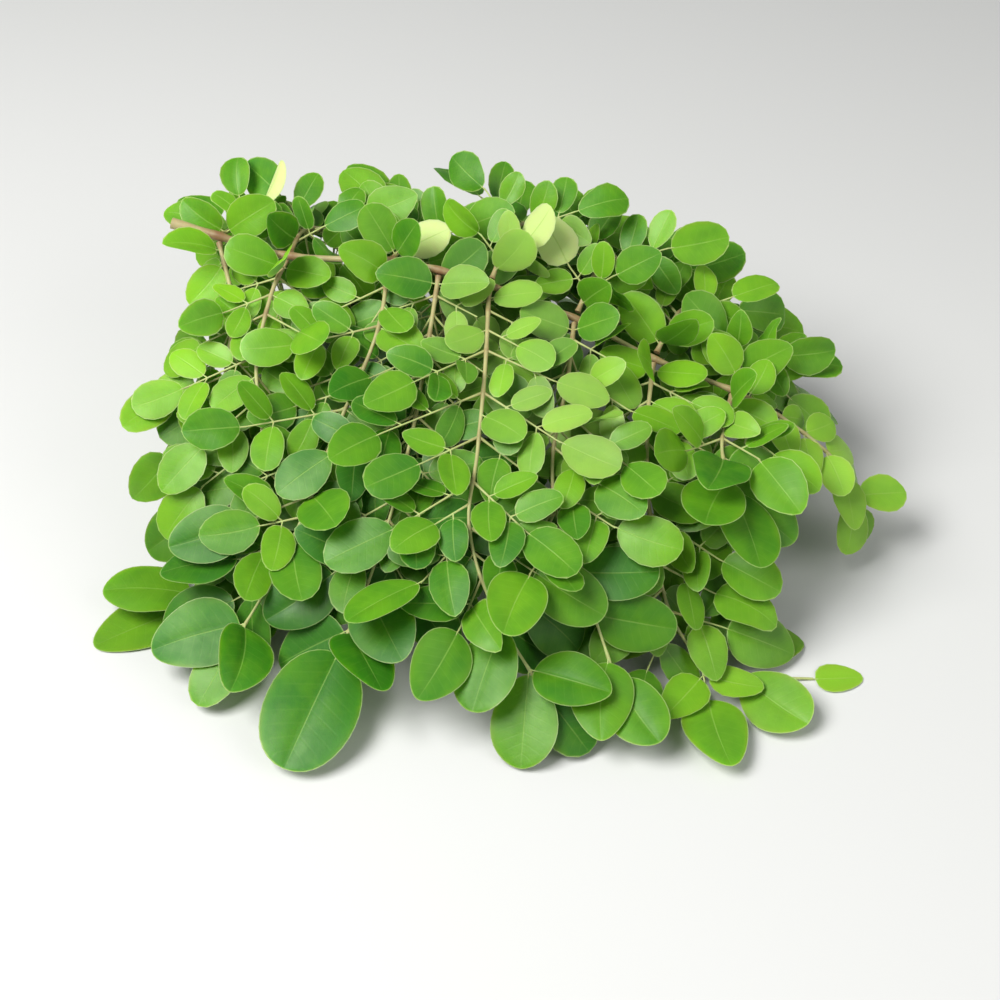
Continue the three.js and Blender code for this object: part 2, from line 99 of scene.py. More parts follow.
# The single leaflets at the foot of each spray.
BASAL_AT = 2.5
BASAL_TURNS = (80, -80, 35, -35)
BASAL_RISE = 0.35
BASAL_GROWTH = 0.85

# The fine twigs between the pairs, which hang inside the heap. Their turns are from straight inwards.
INNER_REACH = 15
INNER_ANGLE = 60
INNER_TURNS = (-80, 80, -25, 25)
INNER_TURN_SPREAD = 12
INNER_GROWTH = 0.85
INNER_UNTIL = 0.7

# The stalks.
SPRAY_HALF_SIDE_AT_BASE = 0.65
MAIN_RADIUS_AT_CUT = 1.2
MAIN_RADIUS_AT_TIP = 0.8
JOINT_SWELLING = 0.5
JOINT_LENGTH = 3
FOOT_SWELLING = 0.8
FOOT_LENGTH = 9
JOINT_GAP = 0.35

# How far apart things grow.
CLEARANCE = 1
BEAD_SPACING = 2.2
RIM_POINTS = 16
RIM_MARGIN = 1.1
FREE_AT_FOOT = 5
LOWEST = 1.2

# The fine blades are thinner than the solids and lie more loosely: the most that one rolls, pitches and
# swings from its solid, the shares of that which are tried, and how far it stays from the others.
LOOSE_TURNS = (38, 20, 14)
LOOSE_SHARES = (1, 0.65, 0.35)
LOOSE_CLEARANCE = 0.6

# How much room a blade is tested for, from the most that it curls in to the least, and what the rest have.
ROOMS = (2.4, 1.8, 1.3, 0.9)
LEAST_ROOM = 0.6
FAR_OFF = np.array([0.0, 0.0, 1e4])

# The ways in which the blades of the front, of the crest and of the back look.
TOWARDS_FRONT = np.array([0, -0.5, 0.87])
UPRIGHT = np.array([0, -0.8, 0.6])
TOWARDS_BACK = np.array([0, 0.6, 0.8])
UP = np.array([0.0, 0.0, 1.0])

# How much a leaflet is in the shade of others, looked at straight up and by ways tilted from there; this
# shade is painted into its green as a darker colour.
TOWARDS_VIEWER = np.array([0.0, -1.0, 0.0])
SKY_TILT = 42
DEEPEST_SHADE = 4
EDGE_ON = 0.05

# The main stalk, from its cut foot through its eight joints.
MAIN_ROUTE = [
    (-93, 46, 77),
    (-80, 44, 74),
    (-60, 40, 70),
    (-31, 36, 71),
    (-17, 33, 70),
    (-3, 30, 67),
    (21, 24, 60),
    (43, 16, 52),
    (65, 8, 47),
]

# The side sprays, those that lie on top first: the joint that each grows from, its pairs of twigs,
# the reach of its longest twig, the length of its end leaflet, how ripe its green is, and its route.
SPRAYS = {
    "front_4": (
        4, 9, 30, 33, 0.8,
        [(-20, 10, 60), (-24, -14, 48), (-30, -36, 36), (-37, -52, 23), (-42, -61, 16)],
    ),
    "front_5": (
        5, 9, 32, 19, 0.72,
        [(-4, 4, 59), (-6, -20, 49), (-8, -40, 41), (-2, -56, 28), (11, -71, 12)],
    ),
    "front_3": (
        3, 9, 34, 18, 0.55,
        [(-34, 14, 62), (-44, -9, 48), (-53, -32, 35), (-62, -44, 22), (-71, -54, 11)],
    ),
    "front_7": (
        7, 9, 26, 13, 0.35,
        [(40, -8, 47), (40, -30, 35), (46, -50, 16), (60, -58, 4), (84, -57, 0.5)],
    ),
    "front_6": (
        6, 9, 30, 21, 0.58,
        [(18, 0, 55), (14, -20, 46), (16, -38, 37), (24, -54, 24), (30, -67, 12)],
    ),
    "front_2": (
        2, 9, 26, 25, 0.35,
        [(-64, 26, 66), (-67, 8, 56), (-65, -8, 43), (-69, -20, 27), (-79, -26, 10), (-89, -32, 0.5)],
    ),
    "front_8": (
        8, 5, 20, 25, 0.5,
        [(62, -2, 46), (60, -14, 44), (62, -25, 40)],
    ),
    "front_1": (
        1, 6, 15, 15, 0.3,
        [(-75, 26, 62), (-77, 10, 48), (-79, -4, 34), (-82, -14, 20)],
    ),
    "tip": (
        8, 6, 8, 12, 0.3,
        [(76, 2, 44), (88, -3, 37), (97, -6, 28), (101, -9, 18)],
    ),
    "back_1": (
        1, 6, 18, 17, 0.5,
        [(-76, 55, 69), (-72, 66, 56), (-69, 77, 34), (-69, 85, 12), (-71, 92, 0.5)],
    ),
    "back_2": (
        2, 7, 22, 16, 0.6,
        [(-57, 52, 70), (-52, 64, 62), (-48, 75, 44), (-46, 84, 24), (-45, 92, 15)],
    ),
    "back_3": (
        3, 7, 22, 17, 0.6,
        [(-27, 48, 68), (-21, 61, 60), (-16, 74, 44), (-14, 84, 25), (-13, 92, 16)],
    ),
    "back_4": (
        4, 6, 24, 18, 0.85,
        [(-17, 36, 58), (-15, 31, 44), (-12, 22, 30), (-6, 10, 19)],
    ),
    "back_5": (
        5, 7, 26, 17, 0.65,
        [(2, 43, 73), (8, 56, 70), (14, 70, 50), (17, 80, 27), (19, 89, 16)],
    ),
    "back_6": (
        6, 7, 26, 17, 0.6,
        [(27, 36, 67), (34, 48, 63), (40, 61, 42), (45, 71, 17), (49, 79, 0.5)],
    ),
    "back_7": (
        7, 7, 22, 16, 0.5,
        [(49, 27, 57), (54, 38, 53), (59, 50, 38), (62, 58, 22), (66, 66, 14)],
    ),
    "back_8": (
        8, 6, 12, 16, 0.45,
        [(68, 16, 49), (72, 25, 44), (74, 34, 30), (76, 42, 18)],
    ),
}
LYING = ("front_7", "front_2", "back_1", "back_6")
SMALL_LEAVED = {"tip": 0.72}

# The rule of the seeded draws: each is the one before times the factor, counted round from the limit.
DRAW_FACTOR = 16807
DRAW_LIMIT = 2147483647

# The shapes of the fine blades: the middle of each and the most that a blade strays from it either way,
# in the order of their draws. The wave is in millimetres, the arch, the tip's curl and the sickle bend are
# shares of the length, and the rest are slopes or plain numbers. The curls are what a blade needs room for.
BLADE_SHAPES = {
    "fullness": (1.04, 0.16),
    "ovate": (0.06, 0.26),
    "arch": (0.045, 0.05),
    "fold": (0.26, 0.2),
    "cup": (-0.12, 0.12),
    "wave": (0.5, 0.4),
    "phase": (0, 1),
    "tip_curl": (-0.06, 0.07),
    "sickle": (0, 0.04),
    "ripeness": (0, 0.24),
    "twist": (0, 0.45),
}
BLADE_CURLS = ("arch", "fold", "cup", "wave", "tip_curl", "twist")
FLAT_FOLD = 0.06
WAVE_SIDE_SHIFT = 0.9
RIB_NARROWNESS = 9.0
END_TAPER = 3.0

# Large blades are riper: the lengths from small to large, and by how much.
SMALL_LENGTH = 9
LARGE_LENGTH = 21
RIPER_BY_SIZE = 0.25
MEAN_GROWTH = 0.4

# The cell that a blade grows from: how its columns crowd to the rib, how sharp its border is, how close
# points are that close its seams, flat and grown, and the angle from which an edge stays sharp.
CROWDED_TO_RIB = 0.5
BORDER_POWER = 6.0
FLAT_SEAM = 1e-5
GROWN_SEAM = 1e-6
CREASE_ANGLE = 1.2

# The marks on a blade: where the colours of the rib, of the rim and of a vein start and are full, how the
# rib and the veins fade to the tip and to the rims, and the slant of the veins.
RIB_EDGE = (0.28 * MM, 0.06 * MM)
RIM_EDGE = (0.3 * MM, 0.06 * MM)
VEIN_EDGE = (0.12, 0.03)
RIB_FADE = (1.0, 0.55, 0.25, 1.0)
VEIN_FADE = (0.98, 0.6)
VEIN_SLANT = 0.16

# How strongly each of them, the pallor, the underside and the shade colour the blade.
VEIN_SHARE = 0.03
RIB_SHARE = 0.3
RIB_BELOW_SHARE = 0.7
RIM_SHARE = 0.55
PALLOR_SHARE = 0.85
BELOW_SHARE = 0.8
# How strongly each of them, the pallor, the underside and the painted shade colour the blade.
PAINTED_SHADE_SHARE = 0.9

# Uneven patches and fine grain: their scales, in waves a metre, how uneven the green is, and the gloss.
MOTTLE_ROUGHNESS = 0.55
MOTTLE_EDGE = (0.3, 0.7)
PATCHES = {"Scale": 90.0, "Detail": 3.0}
BLADE_GRAIN = {"Scale": 900.0, "Detail": 2.0}
STREAKS = {"Scale": 260.0, "Detail": 4.0}
STALK_GRAIN = {"Scale": 1500.0, "Detail": 3.0}
UNEVENNESS = 0.24
BLADE_ROUGHNESS = 0.4
UNDERSIDE_ROUGHER = 0.15
STALK_ROUGHNESS = 0.45

# How high the marks and the grain stand, as shares of the depth of each relief, and how strong that is.
RIB_RELIEF = -0.6
VEIN_RELIEF = -0.15
BLADE_GRAIN_RELIEF = 0.18
BLADE_RELIEF = {"Strength": 0.5, "Distance": 0.12 * MM}
STALK_GRAIN_RELIEF = 0.4
STALK_RELIEF = {"Strength": 0.45, "Distance": 0.1 * MM}

# Light that shines through: how much of it, how far, and the share of each colour.
BLADE_GLOW = {
    "Subsurface Weight": 0.35,
    "Subsurface Radius": (0.5, 1.0, 0.18),
    "Subsurface Scale": 1.1 * MM,
}
STALK_GLOW = {"Subsurface Weight": 0.1, "Subsurface Scale": 0.6 * MM}

# The radii of the fine stalks from foot to end, how much they swell at a foot or a joint, and how far.
SPRAY_RADII = (0.62, 0.34)
SPRAY_FOOT_SWELLING = 0.35
SPRAY_FOOT_LENGTH = 1.5
SPRAY_JOINT_SWELLING = 0.14
SPRAY_JOINT_LENGTH = 1.6
TWIG_RADII = (0.34, 0.22)
TWIG_FOOT_SWELLING = 0.1
TWIG_SWELLING_FADE = 12
LEAFLET_STALK_RADII = (0.26, 0.12)
LEAFLET_STALK_IN_BLADE = 0.06

# How young each stalk's skin looks at its foot and its end, and how red it is at its joints and its foot.
MAIN_YOUTH = (0.1, 0.35)
MAIN_BLUSH = 0.85
MAIN_BLUSH_LENGTH = 1.6 * JOINT_LENGTH
SPRAY_YOUTH = (0.25, 0.9)
SPRAY_JOINT_BLUSH = 0.55
SPRAY_BLUSH_FADE = 0.7
SPRAY_FOOT_BLUSH = 0.8
TWIG_YOUTH = (0.75, 1)
TWIG_BLUSH = 0.4
TWIG_BLUSH_FADE = 10

# How many rings of points the stalks have: the main stalk, a spray's for each pair, a twig's, a leaflet's.
MAIN_RINGS = 160
MAIN_SIDES = 20
SPRAY_RINGS = 12
TWIG_RINGS = 8
LEAFLET_STALK_RINGS = 4

# The stage: what the camera and the lights look at, in millimetres, where the lights are from there and
# their sides, in metres, and the camera's frame.
AIM = (0, 0, 30)
KEY_OFFSET = (-0.45, -0.25, 0.75)
KEY_SIZE = 0.5
FILL_OFFSET = (0.6, -0.4, 0.45)
FILL_SIZE = 0.6
SKY_COLOUR = (0.95, 0.98, 1.0, 1.0)
SENSOR_WIDTH = 36
CAMERA_SHIFT = -0.045
NEAREST_SEEN = 0.01

# Single leaflets that stand out: the spray and the share of its route that each grows from, the way it
# grows, the way it looks, its length, its width to its length, and how bleached it is.
SINGLES = (
    ("back_1", 0.1, (0.47, 0.814, 0.342), (0.9, 0.2, -0.25), 25, 0.5, 0.95),
    ("back_5", 0.6, (0.72, 0.37, 0.59), (0.2, 0.72, 0.5), 17, 0.45, 0.55),
    ("back_6", 0.42, (0.76, 0.54, 0.35), (-0.2, 0.75, 0.5), 20, 0.5, 0.45),
    ("front_8", 0.3, (0.53, -0.76, 0.37), (-0.05, -0.62, 0.78), 12, 0.7, 0.1),
)

# Places where the blades look unlike those round them: a middle and a radius, and how much more bleached
# and how much riper the blades are there. The last value is 1 where they lie with their undersides up. A
# place fades out at so many radii from its middle.
ODD_PLACE_FADES_AT = 1.5
ODD_PLACES = (
    ((24, -25, 52), 4, 0.22, -0.3, 0),
    ((12, 38, 79), 9, 0.7, -0.2, 1),
    ((-21, 45, 72), 6, 0.75, -0.2, 1),
    ((-4, 20, 62), 18, 0.2, -0.25, 0),
    ((18, -8, 53), 16, 0.22, -0.3, 0),
    ((12, 9, 57), 4, 0.0, 0.9, 0),
    ((-81, -38, 25), 5, 0.0, 0.6, 0),
    ((-34, -68, 21), 8, 0.0, 0.35, 0),
    ((-48, -76, 10), 5, 0.0, 0.2, 0),
    ((-96, 10, 45), 20, 0.0, -0.1, 0),
    ((-72, -60, 12), 14, 0.0, 0.1, 0),
    ((80, -62, 4), 24, 0.04, -0.15, 0),
    ((96, -6, 28), 16, 0.12, -0.3, 0),
    ((5, -78, 8), 14, 0.0, -0.1, 0),
)

# The ways to bend a leaflet clear, as a lift and a turn, and a twig, as a lift and a share of its length.
LEAFLET_BENDS = ((0, 0), (12, 0), (-12, 0), (0, 14), (0, -14), (24, 0), (-24, 0), (18, 16), (-18, -16))
TWIG_BENDS = (
    (0, 1), (9, 1), (-9, 1), (18, 1), (0, 0.8), (14, 0.8), (-14, 0.8),
    (0, 0.6), (26, 0.7), (0, 0.42), (16, 0.42), (0, 0.2), (20, 0.2),
)


def unit(vector):
    return vector / np.linalg.norm(vector)


def mix(start, end, share):
    return start + (end - start) * share


def facing(along, wanted):
    """The direction at right angles to `along` that is closest to `wanted`."""
    return unit(wanted - np.dot(wanted, along) * along)


def right_of(along, face):
    return unit(np.cross(along, face))


def turned(vector, axis, degrees):
    """A vector turned about a unit axis."""
    angle = math.radians(degrees)
    across = np.cross(axis, vector)
    return vector + math.sin(angle) * across + (1 - math.cos(angle)) * np.cross(axis, across)


def leaving(along, across, degrees):
    """A direction that leaves `along` by an angle, towards `across`."""
    return along * math.cos(math.radians(degrees)) + across * math.sin(math.radians(degrees))


class Route:
    """A smooth curve through points, read by its own parameter or by a share of its length."""

    STEPS = 200

    def __init__(self, points):
        points = np.array(points, float)
        before, after = 2 * points[0] - points[1], 2 * points[-1] - points[-2]
        self.points = np.vstack([before, points, after])
        self.spans = len(points) - 1
        stops = np.array([self.at(step / self.STEPS) for step in range(self.STEPS + 1)])
        steps = np.linalg.norm(np.diff(stops, axis=0), axis=1)
        self.lengths = np.concatenate([[0], np.cumsum(steps)])
        self.length = self.lengths[-1]

    def at(self, place):
        place = min(max(place, 0), 1) * self.spans
        span = min(int(place), self.spans - 1)
        share = place - span
        before, start, end, after = self.points[span : span + 4]
        out, into = (end - before) / 2, (after - start) / 2
        square = 3 * (end - start) - 2 * out - into
        cube = 2 * (start - end) + out + into
        return start + out * share + square * share**2 + cube * share**3

    def tangent(self, place):
        return unit(self.at(min(place + 1e-4, 1)) - self.at(max(place - 1e-4, 0)))

    def place_at(self, share):
        return float(np.interp(share * self.length, self.lengths, np.linspace(0, 1, self.STEPS + 1)))

    def along(self, share):
        return self.at(self.place_at(share))


class Line:
    """A straight twig, read as a Route is."""

    def __init__(self, start, end):
        self.start, self.end = start, end
        self.length = float(np.linalg.norm(end - start))

    def at(self, place):
        return mix(self.start, self.end, place)


class Heap:
    """All that has grown so far, and the rule that keeps it apart."""

    def __init__(self):
        self.state = SEED
        self.spray = None
        self.centres = np.empty((0, 3))
        self.axes = np.empty((0, 3, 3))
        self.rims = np.empty((0, RIM_POINTS, 3))
        self.reaches = np.empty(0)
        self.leaflet_sprays = np.empty(0, int)
        self.beads = np.empty((0, 3))
        self.bead_radii = np.empty(0)
        self.bead_sprays = np.empty(0, int)

    def draw(self):
        """A draw from -1 to 1, the same on every run."""
        self.state = self.state * DRAW_FACTOR % DRAW_LIMIT
        return self.state / DRAW_LIMIT * 2 - 1

    def leaflet_draws(self, roll):
        """How much a leaflet rolls, pitches and swings."""
        return roll + ROLL_SPREAD * self.draw(), PITCH_SPREAD * self.draw(), SWING_SPREAD * self.draw()

    def leaflet_at(self, foot, along, normal, length, width_to_length):
        """A leaflet as the flat oval that the clearance rule works on."""
        side = right_of(along, normal)
        centre = foot + along * (LEAFLET_STALK + length / 2)
        width = length * width_to_length
        turns = np.arange(RIM_POINTS) / RIM_POINTS * 2 * math.pi
        rim = centre + np.outer(np.cos(turns) * length / 2, along) + np.outer(np.sin(turns) * width / 2, side)
        return {
            "foot": foot,
            "along": along,
            "normal": normal,
            "length": length,
            "width": width,
            "centre": centre,
            "rim": rim,
            "axes": np.array([along / (length / 2), side / (width / 2), normal]),
        }

    def keep_leaflet(self, leaflet):
        self.centres = np.vstack([self.centres, leaflet["centre"]])
        self.axes = np.concatenate([self.axes, leaflet["axes"][None]])
        self.rims = np.concatenate([self.rims, leaflet["rim"][None]])
        self.reaches = np.append(self.reaches, leaflet["length"] / 2)
        self.leaflet_sprays = np.append(self.leaflet_sprays, self.spray)

    def lift_out(self, number):
        """Moves a leaflet out of the way of all others."""
        self.centres[number] = FAR_OFF

    def put_back(self, number, leaflet):
        self.centres[number] = leaflet["centre"]
        self.axes[number] = leaflet["axes"]
        self.rims[number] = leaflet["rim"]

    def keep_stalk(self, beads, radius, spray):
        self.beads = np.vstack([self.beads, beads])
        self.bead_radii = np.append(self.bead_radii, np.full(len(beads), radius))
        self.bead_sprays = np.append(self.bead_sprays, np.full(len(beads), spray))

    @staticmethod
    def inside(local):
        return local[..., 0] ** 2 + local[..., 1] ** 2 < RIM_MARGIN

    def rings_meet(self, local, clearance):
        """Whether rings of points, each in an oval's own axes, come too near to that oval or cross it."""
        height = local[..., 2]
        near = (np.abs(height) < clearance) & self.inside(local)
        following = np.roll(local, -1, axis=-2)
        crosses = height * following[..., 2] < 0
        drop = np.where(crosses, height - following[..., 2], 1)
        crossing = local + (following - local) * (height / drop)[..., None]
        return bool((near | (crosses & self.inside(crossing))).any())

    def leaflet_is_clear(self, leaflet, clearance=CLEARANCE):
        if (leaflet["rim"][:, 2] < LOWEST).any():
            return False
        centre, axes = leaflet["centre"], leaflet["axes"]
        distances = np.linalg.norm(self.centres - centre, axis=1)
        near = distances < self.reaches + leaflet["length"] / 2 + clearance
        if near.any():
            apart = leaflet["rim"][None] - self.centres[near][:, None]
            own = np.einsum("nij,nmj->nmi", self.axes[near], apart)
            others = (self.rims[near] - centre) @ axes.T
            if self.rings_meet(own, clearance) or self.rings_meet(others, clearance):
                return False
        own_spray = self.bead_sprays == self.spray
        free = own_spray & (np.linalg.norm(self.beads - leaflet["foot"], axis=1) < FREE_AT_FOOT)
        local = (self.beads - centre) @ axes.T
        meets = (np.abs(local[:, 2]) < clearance + self.bead_radii) & self.inside(local)
        return not (meets & ~free).any()

    def stalk_is_clear(self, beads, radius):
        foot = beads[0]
        if (beads[:, 2] <= LOWEST).any():
            return False
        near_foot = np.linalg.norm(beads - foot, axis=1) < FREE_AT_FOOT
        if len(self.centres):
            local = np.einsum("nij,nmj->nmi", self.axes, beads[None] - self.centres[:, None])
            meets = (np.abs(local[..., 2]) < CLEARANCE + radius) & self.inside(local)
            free = (self.leaflet_sprays == self.spray)[:, None] & near_foot[None]
            if (meets & ~free).any():
                return False
        gaps = np.linalg.norm(beads[:, None] - self.beads[None], axis=2)
        meets = gaps < radius + self.bead_radii + CLEARANCE
        others_near_foot = np.linalg.norm(self.beads - foot, axis=1) < FREE_AT_FOOT
        free = (self.bead_sprays == self.spray) & others_near_foot
        return not (meets & ~free[None]).any()

    def clear_leaflet(self, foot, along, normal, size, width_to_length, draws):
        """A leaflet that grows from `foot`, bent clear of all others, or None where no bend clears it."""
        roll, pitch, swing = draws
        side = right_of(along, normal)
        for lift, turn in LEAFLET_BENDS:
            towards = turned(turned(along, normal, swing + turn), side, pitch + lift)
            face = turned(facing(towards, normal), towards, roll)
            leaflet = self.leaflet_at(foot, towards, face, size, width_to_length)
            if self.leaflet_is_clear(leaflet):
                return leaflet
        return None

    def grow_twig(self, foot, along, normal, length, leaflet_length):
        """Grows a twig of up to `length` from `foot`: its end leaflet first, and then the pairs towards its
        foot. A twig whose end leaflet fits nowhere is shortened, and in the end left out."""
        lean = TWIG_LEAN_SPREAD * self.draw()
        end_size = leaflet_length * END_LEAFLET_GROWTH * (1 + SIZE_SPREAD * self.draw())
        end_draws = self.leaflet_draws(0)
        pair_draws = []
        for k in range(DRAWN_LEAFLETS):
            size = 1 + SIZE_SPREAD * self.draw()
            angle = LEAFLET_ANGLE + ANGLE_SPREAD * self.draw()
            roll = LEAFLET_OVERLAP_ROLL if k % 2 else -LEAFLET_OVERLAP_ROLL
            pair_draws.append((size, angle, self.leaflet_draws(roll)))
        side = right_of(along, normal)
        for lift, share in TWIG_BENDS:
            reach = length * share
            pairs = math.floor(reach / LEAFLET_SPACING)
            end = foot + turned(along, side, lean + lift) * max(reach, 1)
            end[2] -= TWIG_SAG * reach
            line = Line(foot, end)
            tangent = unit(end - foot)
            face = facing(tangent, normal)
            beads = beads_of(line)
            if pairs > 0 and not self.stalk_is_clear(beads, TWIG_HALF_WIDTH):
                continue
            root = end - tangent * END_OVERLAP if pairs > 0 else foot
            end_leaflet = self.clear_leaflet(root, tangent, face, end_size, END_WIDTH_TO_LENGTH, end_draws)
            if end_leaflet is None:
                continue
            self.keep_leaflet(end_leaflet)
            if pairs == 0:
                return {"foot": foot, "end": foot, "leaflets": [end_leaflet]}
            self.keep_stalk(beads, TWIG_HALF_WIDTH, self.spray)
            across = right_of(tangent, face)
            leaflets = [end_leaflet]
            for k in range(2 * pairs - 1, -1, -1):
                hand = 1 if k % 2 else -1
                at = (k // 2 + FIRST_PAIR) / (pairs + PAST_PAIRS)
                size, angle, draws = pair_draws[k % DRAWN_LEAFLETS]
                outwards = leaving(tangent, across, hand * angle)
                own = leaflet_length * mix(FIRST_PAIR_SIZE, 1, at) * size
                leaflet = self.clear_leaflet(line.at(at), outwards, face, own, WIDTH_TO_LENGTH, draws)
                if leaflet is not None:
                    self.keep_leaflet(leaflet)
                    leaflets.append(leaflet)
            return {"foot": foot, "end": end, "leaflets": leaflets}
        return None

    def grow_end(self, spray):
        """Grows the leaflet at a spray's end. One that lies on the surface is flat on it."""
        route = spray["route"]
        tangent = route.tangent(1)
        foot = route.at(1) - tangent * END_OVERLAP
        face = facing(tangent, spray["facing_at_tip"])
        draws = self.leaflet_draws(0)
        if spray["lies"]:
            foot[2] = SOLID_THICKNESS / 2
            tangent = unit(tangent * [1, 1, 0])
            leaflet = self.leaflet_at(foot, tangent, UP, spray["end"], END_WIDTH_TO_LENGTH)
            leaflet["flat"] = leaflet["set"] = True
        else:
            leaflet = self.clear_leaflet(foot, tangent, face, spray["end"], END_WIDTH_TO_LENGTH, draws)
        if leaflet is None:
            return []
        self.keep_leaflet(leaflet)
        return [{"foot": foot, "end": foot, "leaflets": [leaflet]}]

    def grow_twigs(self, spray):
        """Grows the twigs of one side spray, from its tip to its base."""
        route, pairs, rise = spray["route"], spray["pairs"], spray["rise"]
        twigs = []
        for k in range(pairs - 1, -1, -1):
            share = k / (pairs - 1)
            start, end = route.along(k / pairs), route.along((k + 1) / pairs)
            tangent = unit(end - start)
            across = right_of(tangent, facing(tangent, UP))
            facing_to = unit(mix(spray["facing_at_base"], spray["facing_at_tip"], share))
            growth = spray["leaf_size"] * mix(GROWTH_AT_BASE, GROWTH_AT_TIP, share)
            for hand in (1, -1):
                angle = mix(TWIG_ANGLE_AT_BASE, TWIG_ANGLE_AT_TIP, share) + TWIG_ANGLE_SPREAD * self.draw()
                length = spray["reach"] * twig_share(share) * (1 + SIZE_SPREAD * self.draw())
                towards = unit(leaving(tangent, across, hand * angle) + UP * rise * (1 - share))
                foot, size = mix(start, end, 0.5), LEAFLET_LENGTH * growth
                twig = self.grow_twig(foot, towards, facing(towards, facing_to), length, size)
                if twig:
                    twigs.append(twig)
        return twigs

    def grow_inner_twigs(self, spray):
        """Grows the fine twigs between the pairs of a spray, from its base to its tip."""
        route, pairs = spray["route"], spray["pairs"]
        twigs = []
        for k in range(1, math.ceil(pairs * INNER_UNTIL)):
            share = k / pairs
            foot = route.along(share)
            tangent = unit(route.along(share + 0.01) - foot)
            facing_to = unit(mix(spray["facing_at_base"], spray["facing_at_tip"], share))
            outwards = facing(tangent, facing_to)
            across = right_of(tangent, outwards)
            growth = spray["leaf_size"] * mix(GROWTH_AT_BASE, GROWTH_AT_TIP, share)
            size = LEAFLET_LENGTH * growth * INNER_GROWTH
            for turn in INNER_TURNS:
                inwards = leaving(-outwards, across, turn + INNER_TURN_SPREAD * self.draw())
                towards = leaving(tangent, inwards, INNER_ANGLE)
                length = INNER_REACH * (1 + SIZE_SPREAD * self.draw())
                twig = self.grow_twig(foot, towards, facing(towards, facing_to), length, size)
                if twig:
                    twigs.append(twig)
        return twigs

    def grow_basal_leaflets(self, spray):
        """Grows the single leaflets at a spray's own foot, which lean over the joint."""
        route = spray["route"]
        tangent = route.tangent(0)
        point = route.along(BASAL_AT / route.length)
        across = right_of(tangent, facing(tangent, UP))
        twigs = []
        for turn in BASAL_TURNS:
            towards = unit(leaving(tangent, across, turn) + UP * (BASAL_RISE + spray["rise"]))
            size = LEAFLET_LENGTH * spray["leaf_size"] * BASAL_GROWTH
            twig = self.grow_twig(point, towards, facing(towards, spray["facing_at_base"]), 0, size)
            if twig:
                twigs.append(twig)
        return twigs


def twig_share(share):
    """The length of a twig as a share of the longest, from the first pair to the last."""
    return min(FIRST_TWIG_SHARE + 2 * share, 1 - TWIG_TAPER * share**1.4)


def beads_of(curve):
    """Points along a stalk, close enough together to stand for it in the clearance rule."""
    count = max(2, math.ceil(curve.length / BEAD_SPACING))
    return np.array([curve.at(k / count) for k in range(count + 1)])


def spray_route(joint, points):
    """A spray's stalk starts just clear of the joint that it grows from."""
    centre = np.array(MAIN_ROUTE[joint], float)
    towards = unit(np.array(points[0], float) - centre)
    start = centre + towards * (MAIN_RADIUS_AT_CUT + JOINT_SWELLING + JOINT_GAP)
    return Route([start, *points])


def grow_sprig():
    """The main stalk's route, and the sprays by name, each with its route, its twigs and their leaflets."""
    main = Route(MAIN_ROUTE)
    sprays = {}
    for number, (name, (joint, pairs, reach, end, ripeness, points)) in enumerate(SPRAYS.items()):
        is_back = name.startswith("back")
        sprays[name] = {
            "number": number,
            "pairs": pairs,
            "reach": reach,
            "end": end,
            "ripeness": ripeness,
            "lies": name in LYING,
            "leaf_size": SMALL_LEAVED.get(name, 1),
            "route": spray_route(joint, points),
            "rise": BACK_RISE if is_back else 0,
            "facing_at_base": UPRIGHT if is_back else TOWARDS_FRONT,
            "facing_at_tip": TOWARDS_BACK if is_back else TOWARDS_FRONT,
        }
    heap = Heap()
    heap.keep_stalk(beads_of(main), MAIN_RADIUS_AT_CUT, -1)
    for spray in sprays.values():
        heap.keep_stalk(beads_of(spray["route"]), SPRAY_HALF_SIDE_AT_BASE, spray["number"])
    for spray in sprays.values():
        heap.spray = spray["number"]
        spray["twigs"] = heap.grow_end(spray)
    for spray in sprays.values():
        heap.spray = spray["number"]
        spray["twigs"] += heap.grow_twigs(spray) + heap.grow_basal_leaflets(spray)
    for name, share, along, normal, length, width_to_length, bleach in SINGLES:
        heap.spray = sprays[name]["number"]
        foot = sprays[name]["route"].along(share)
        along = unit(np.array(along))
        leaflet = heap.leaflet_at(foot, along, facing(along, np.array(normal)), length, width_to_length)
        leaflet |= {"set": True, "bleach": bleach}
        heap.keep_leaflet(leaflet)
        sprays[name]["twigs"].append({"foot": foot, "end": foot, "leaflets": [leaflet]})
    for name, spray in sprays.items():
        heap.spray = spray["number"]
        if name != "tip":
            spray["twigs"] += heap.grow_inner_twigs(spray)
    loosen(heap, sprays)
    return main, sprays


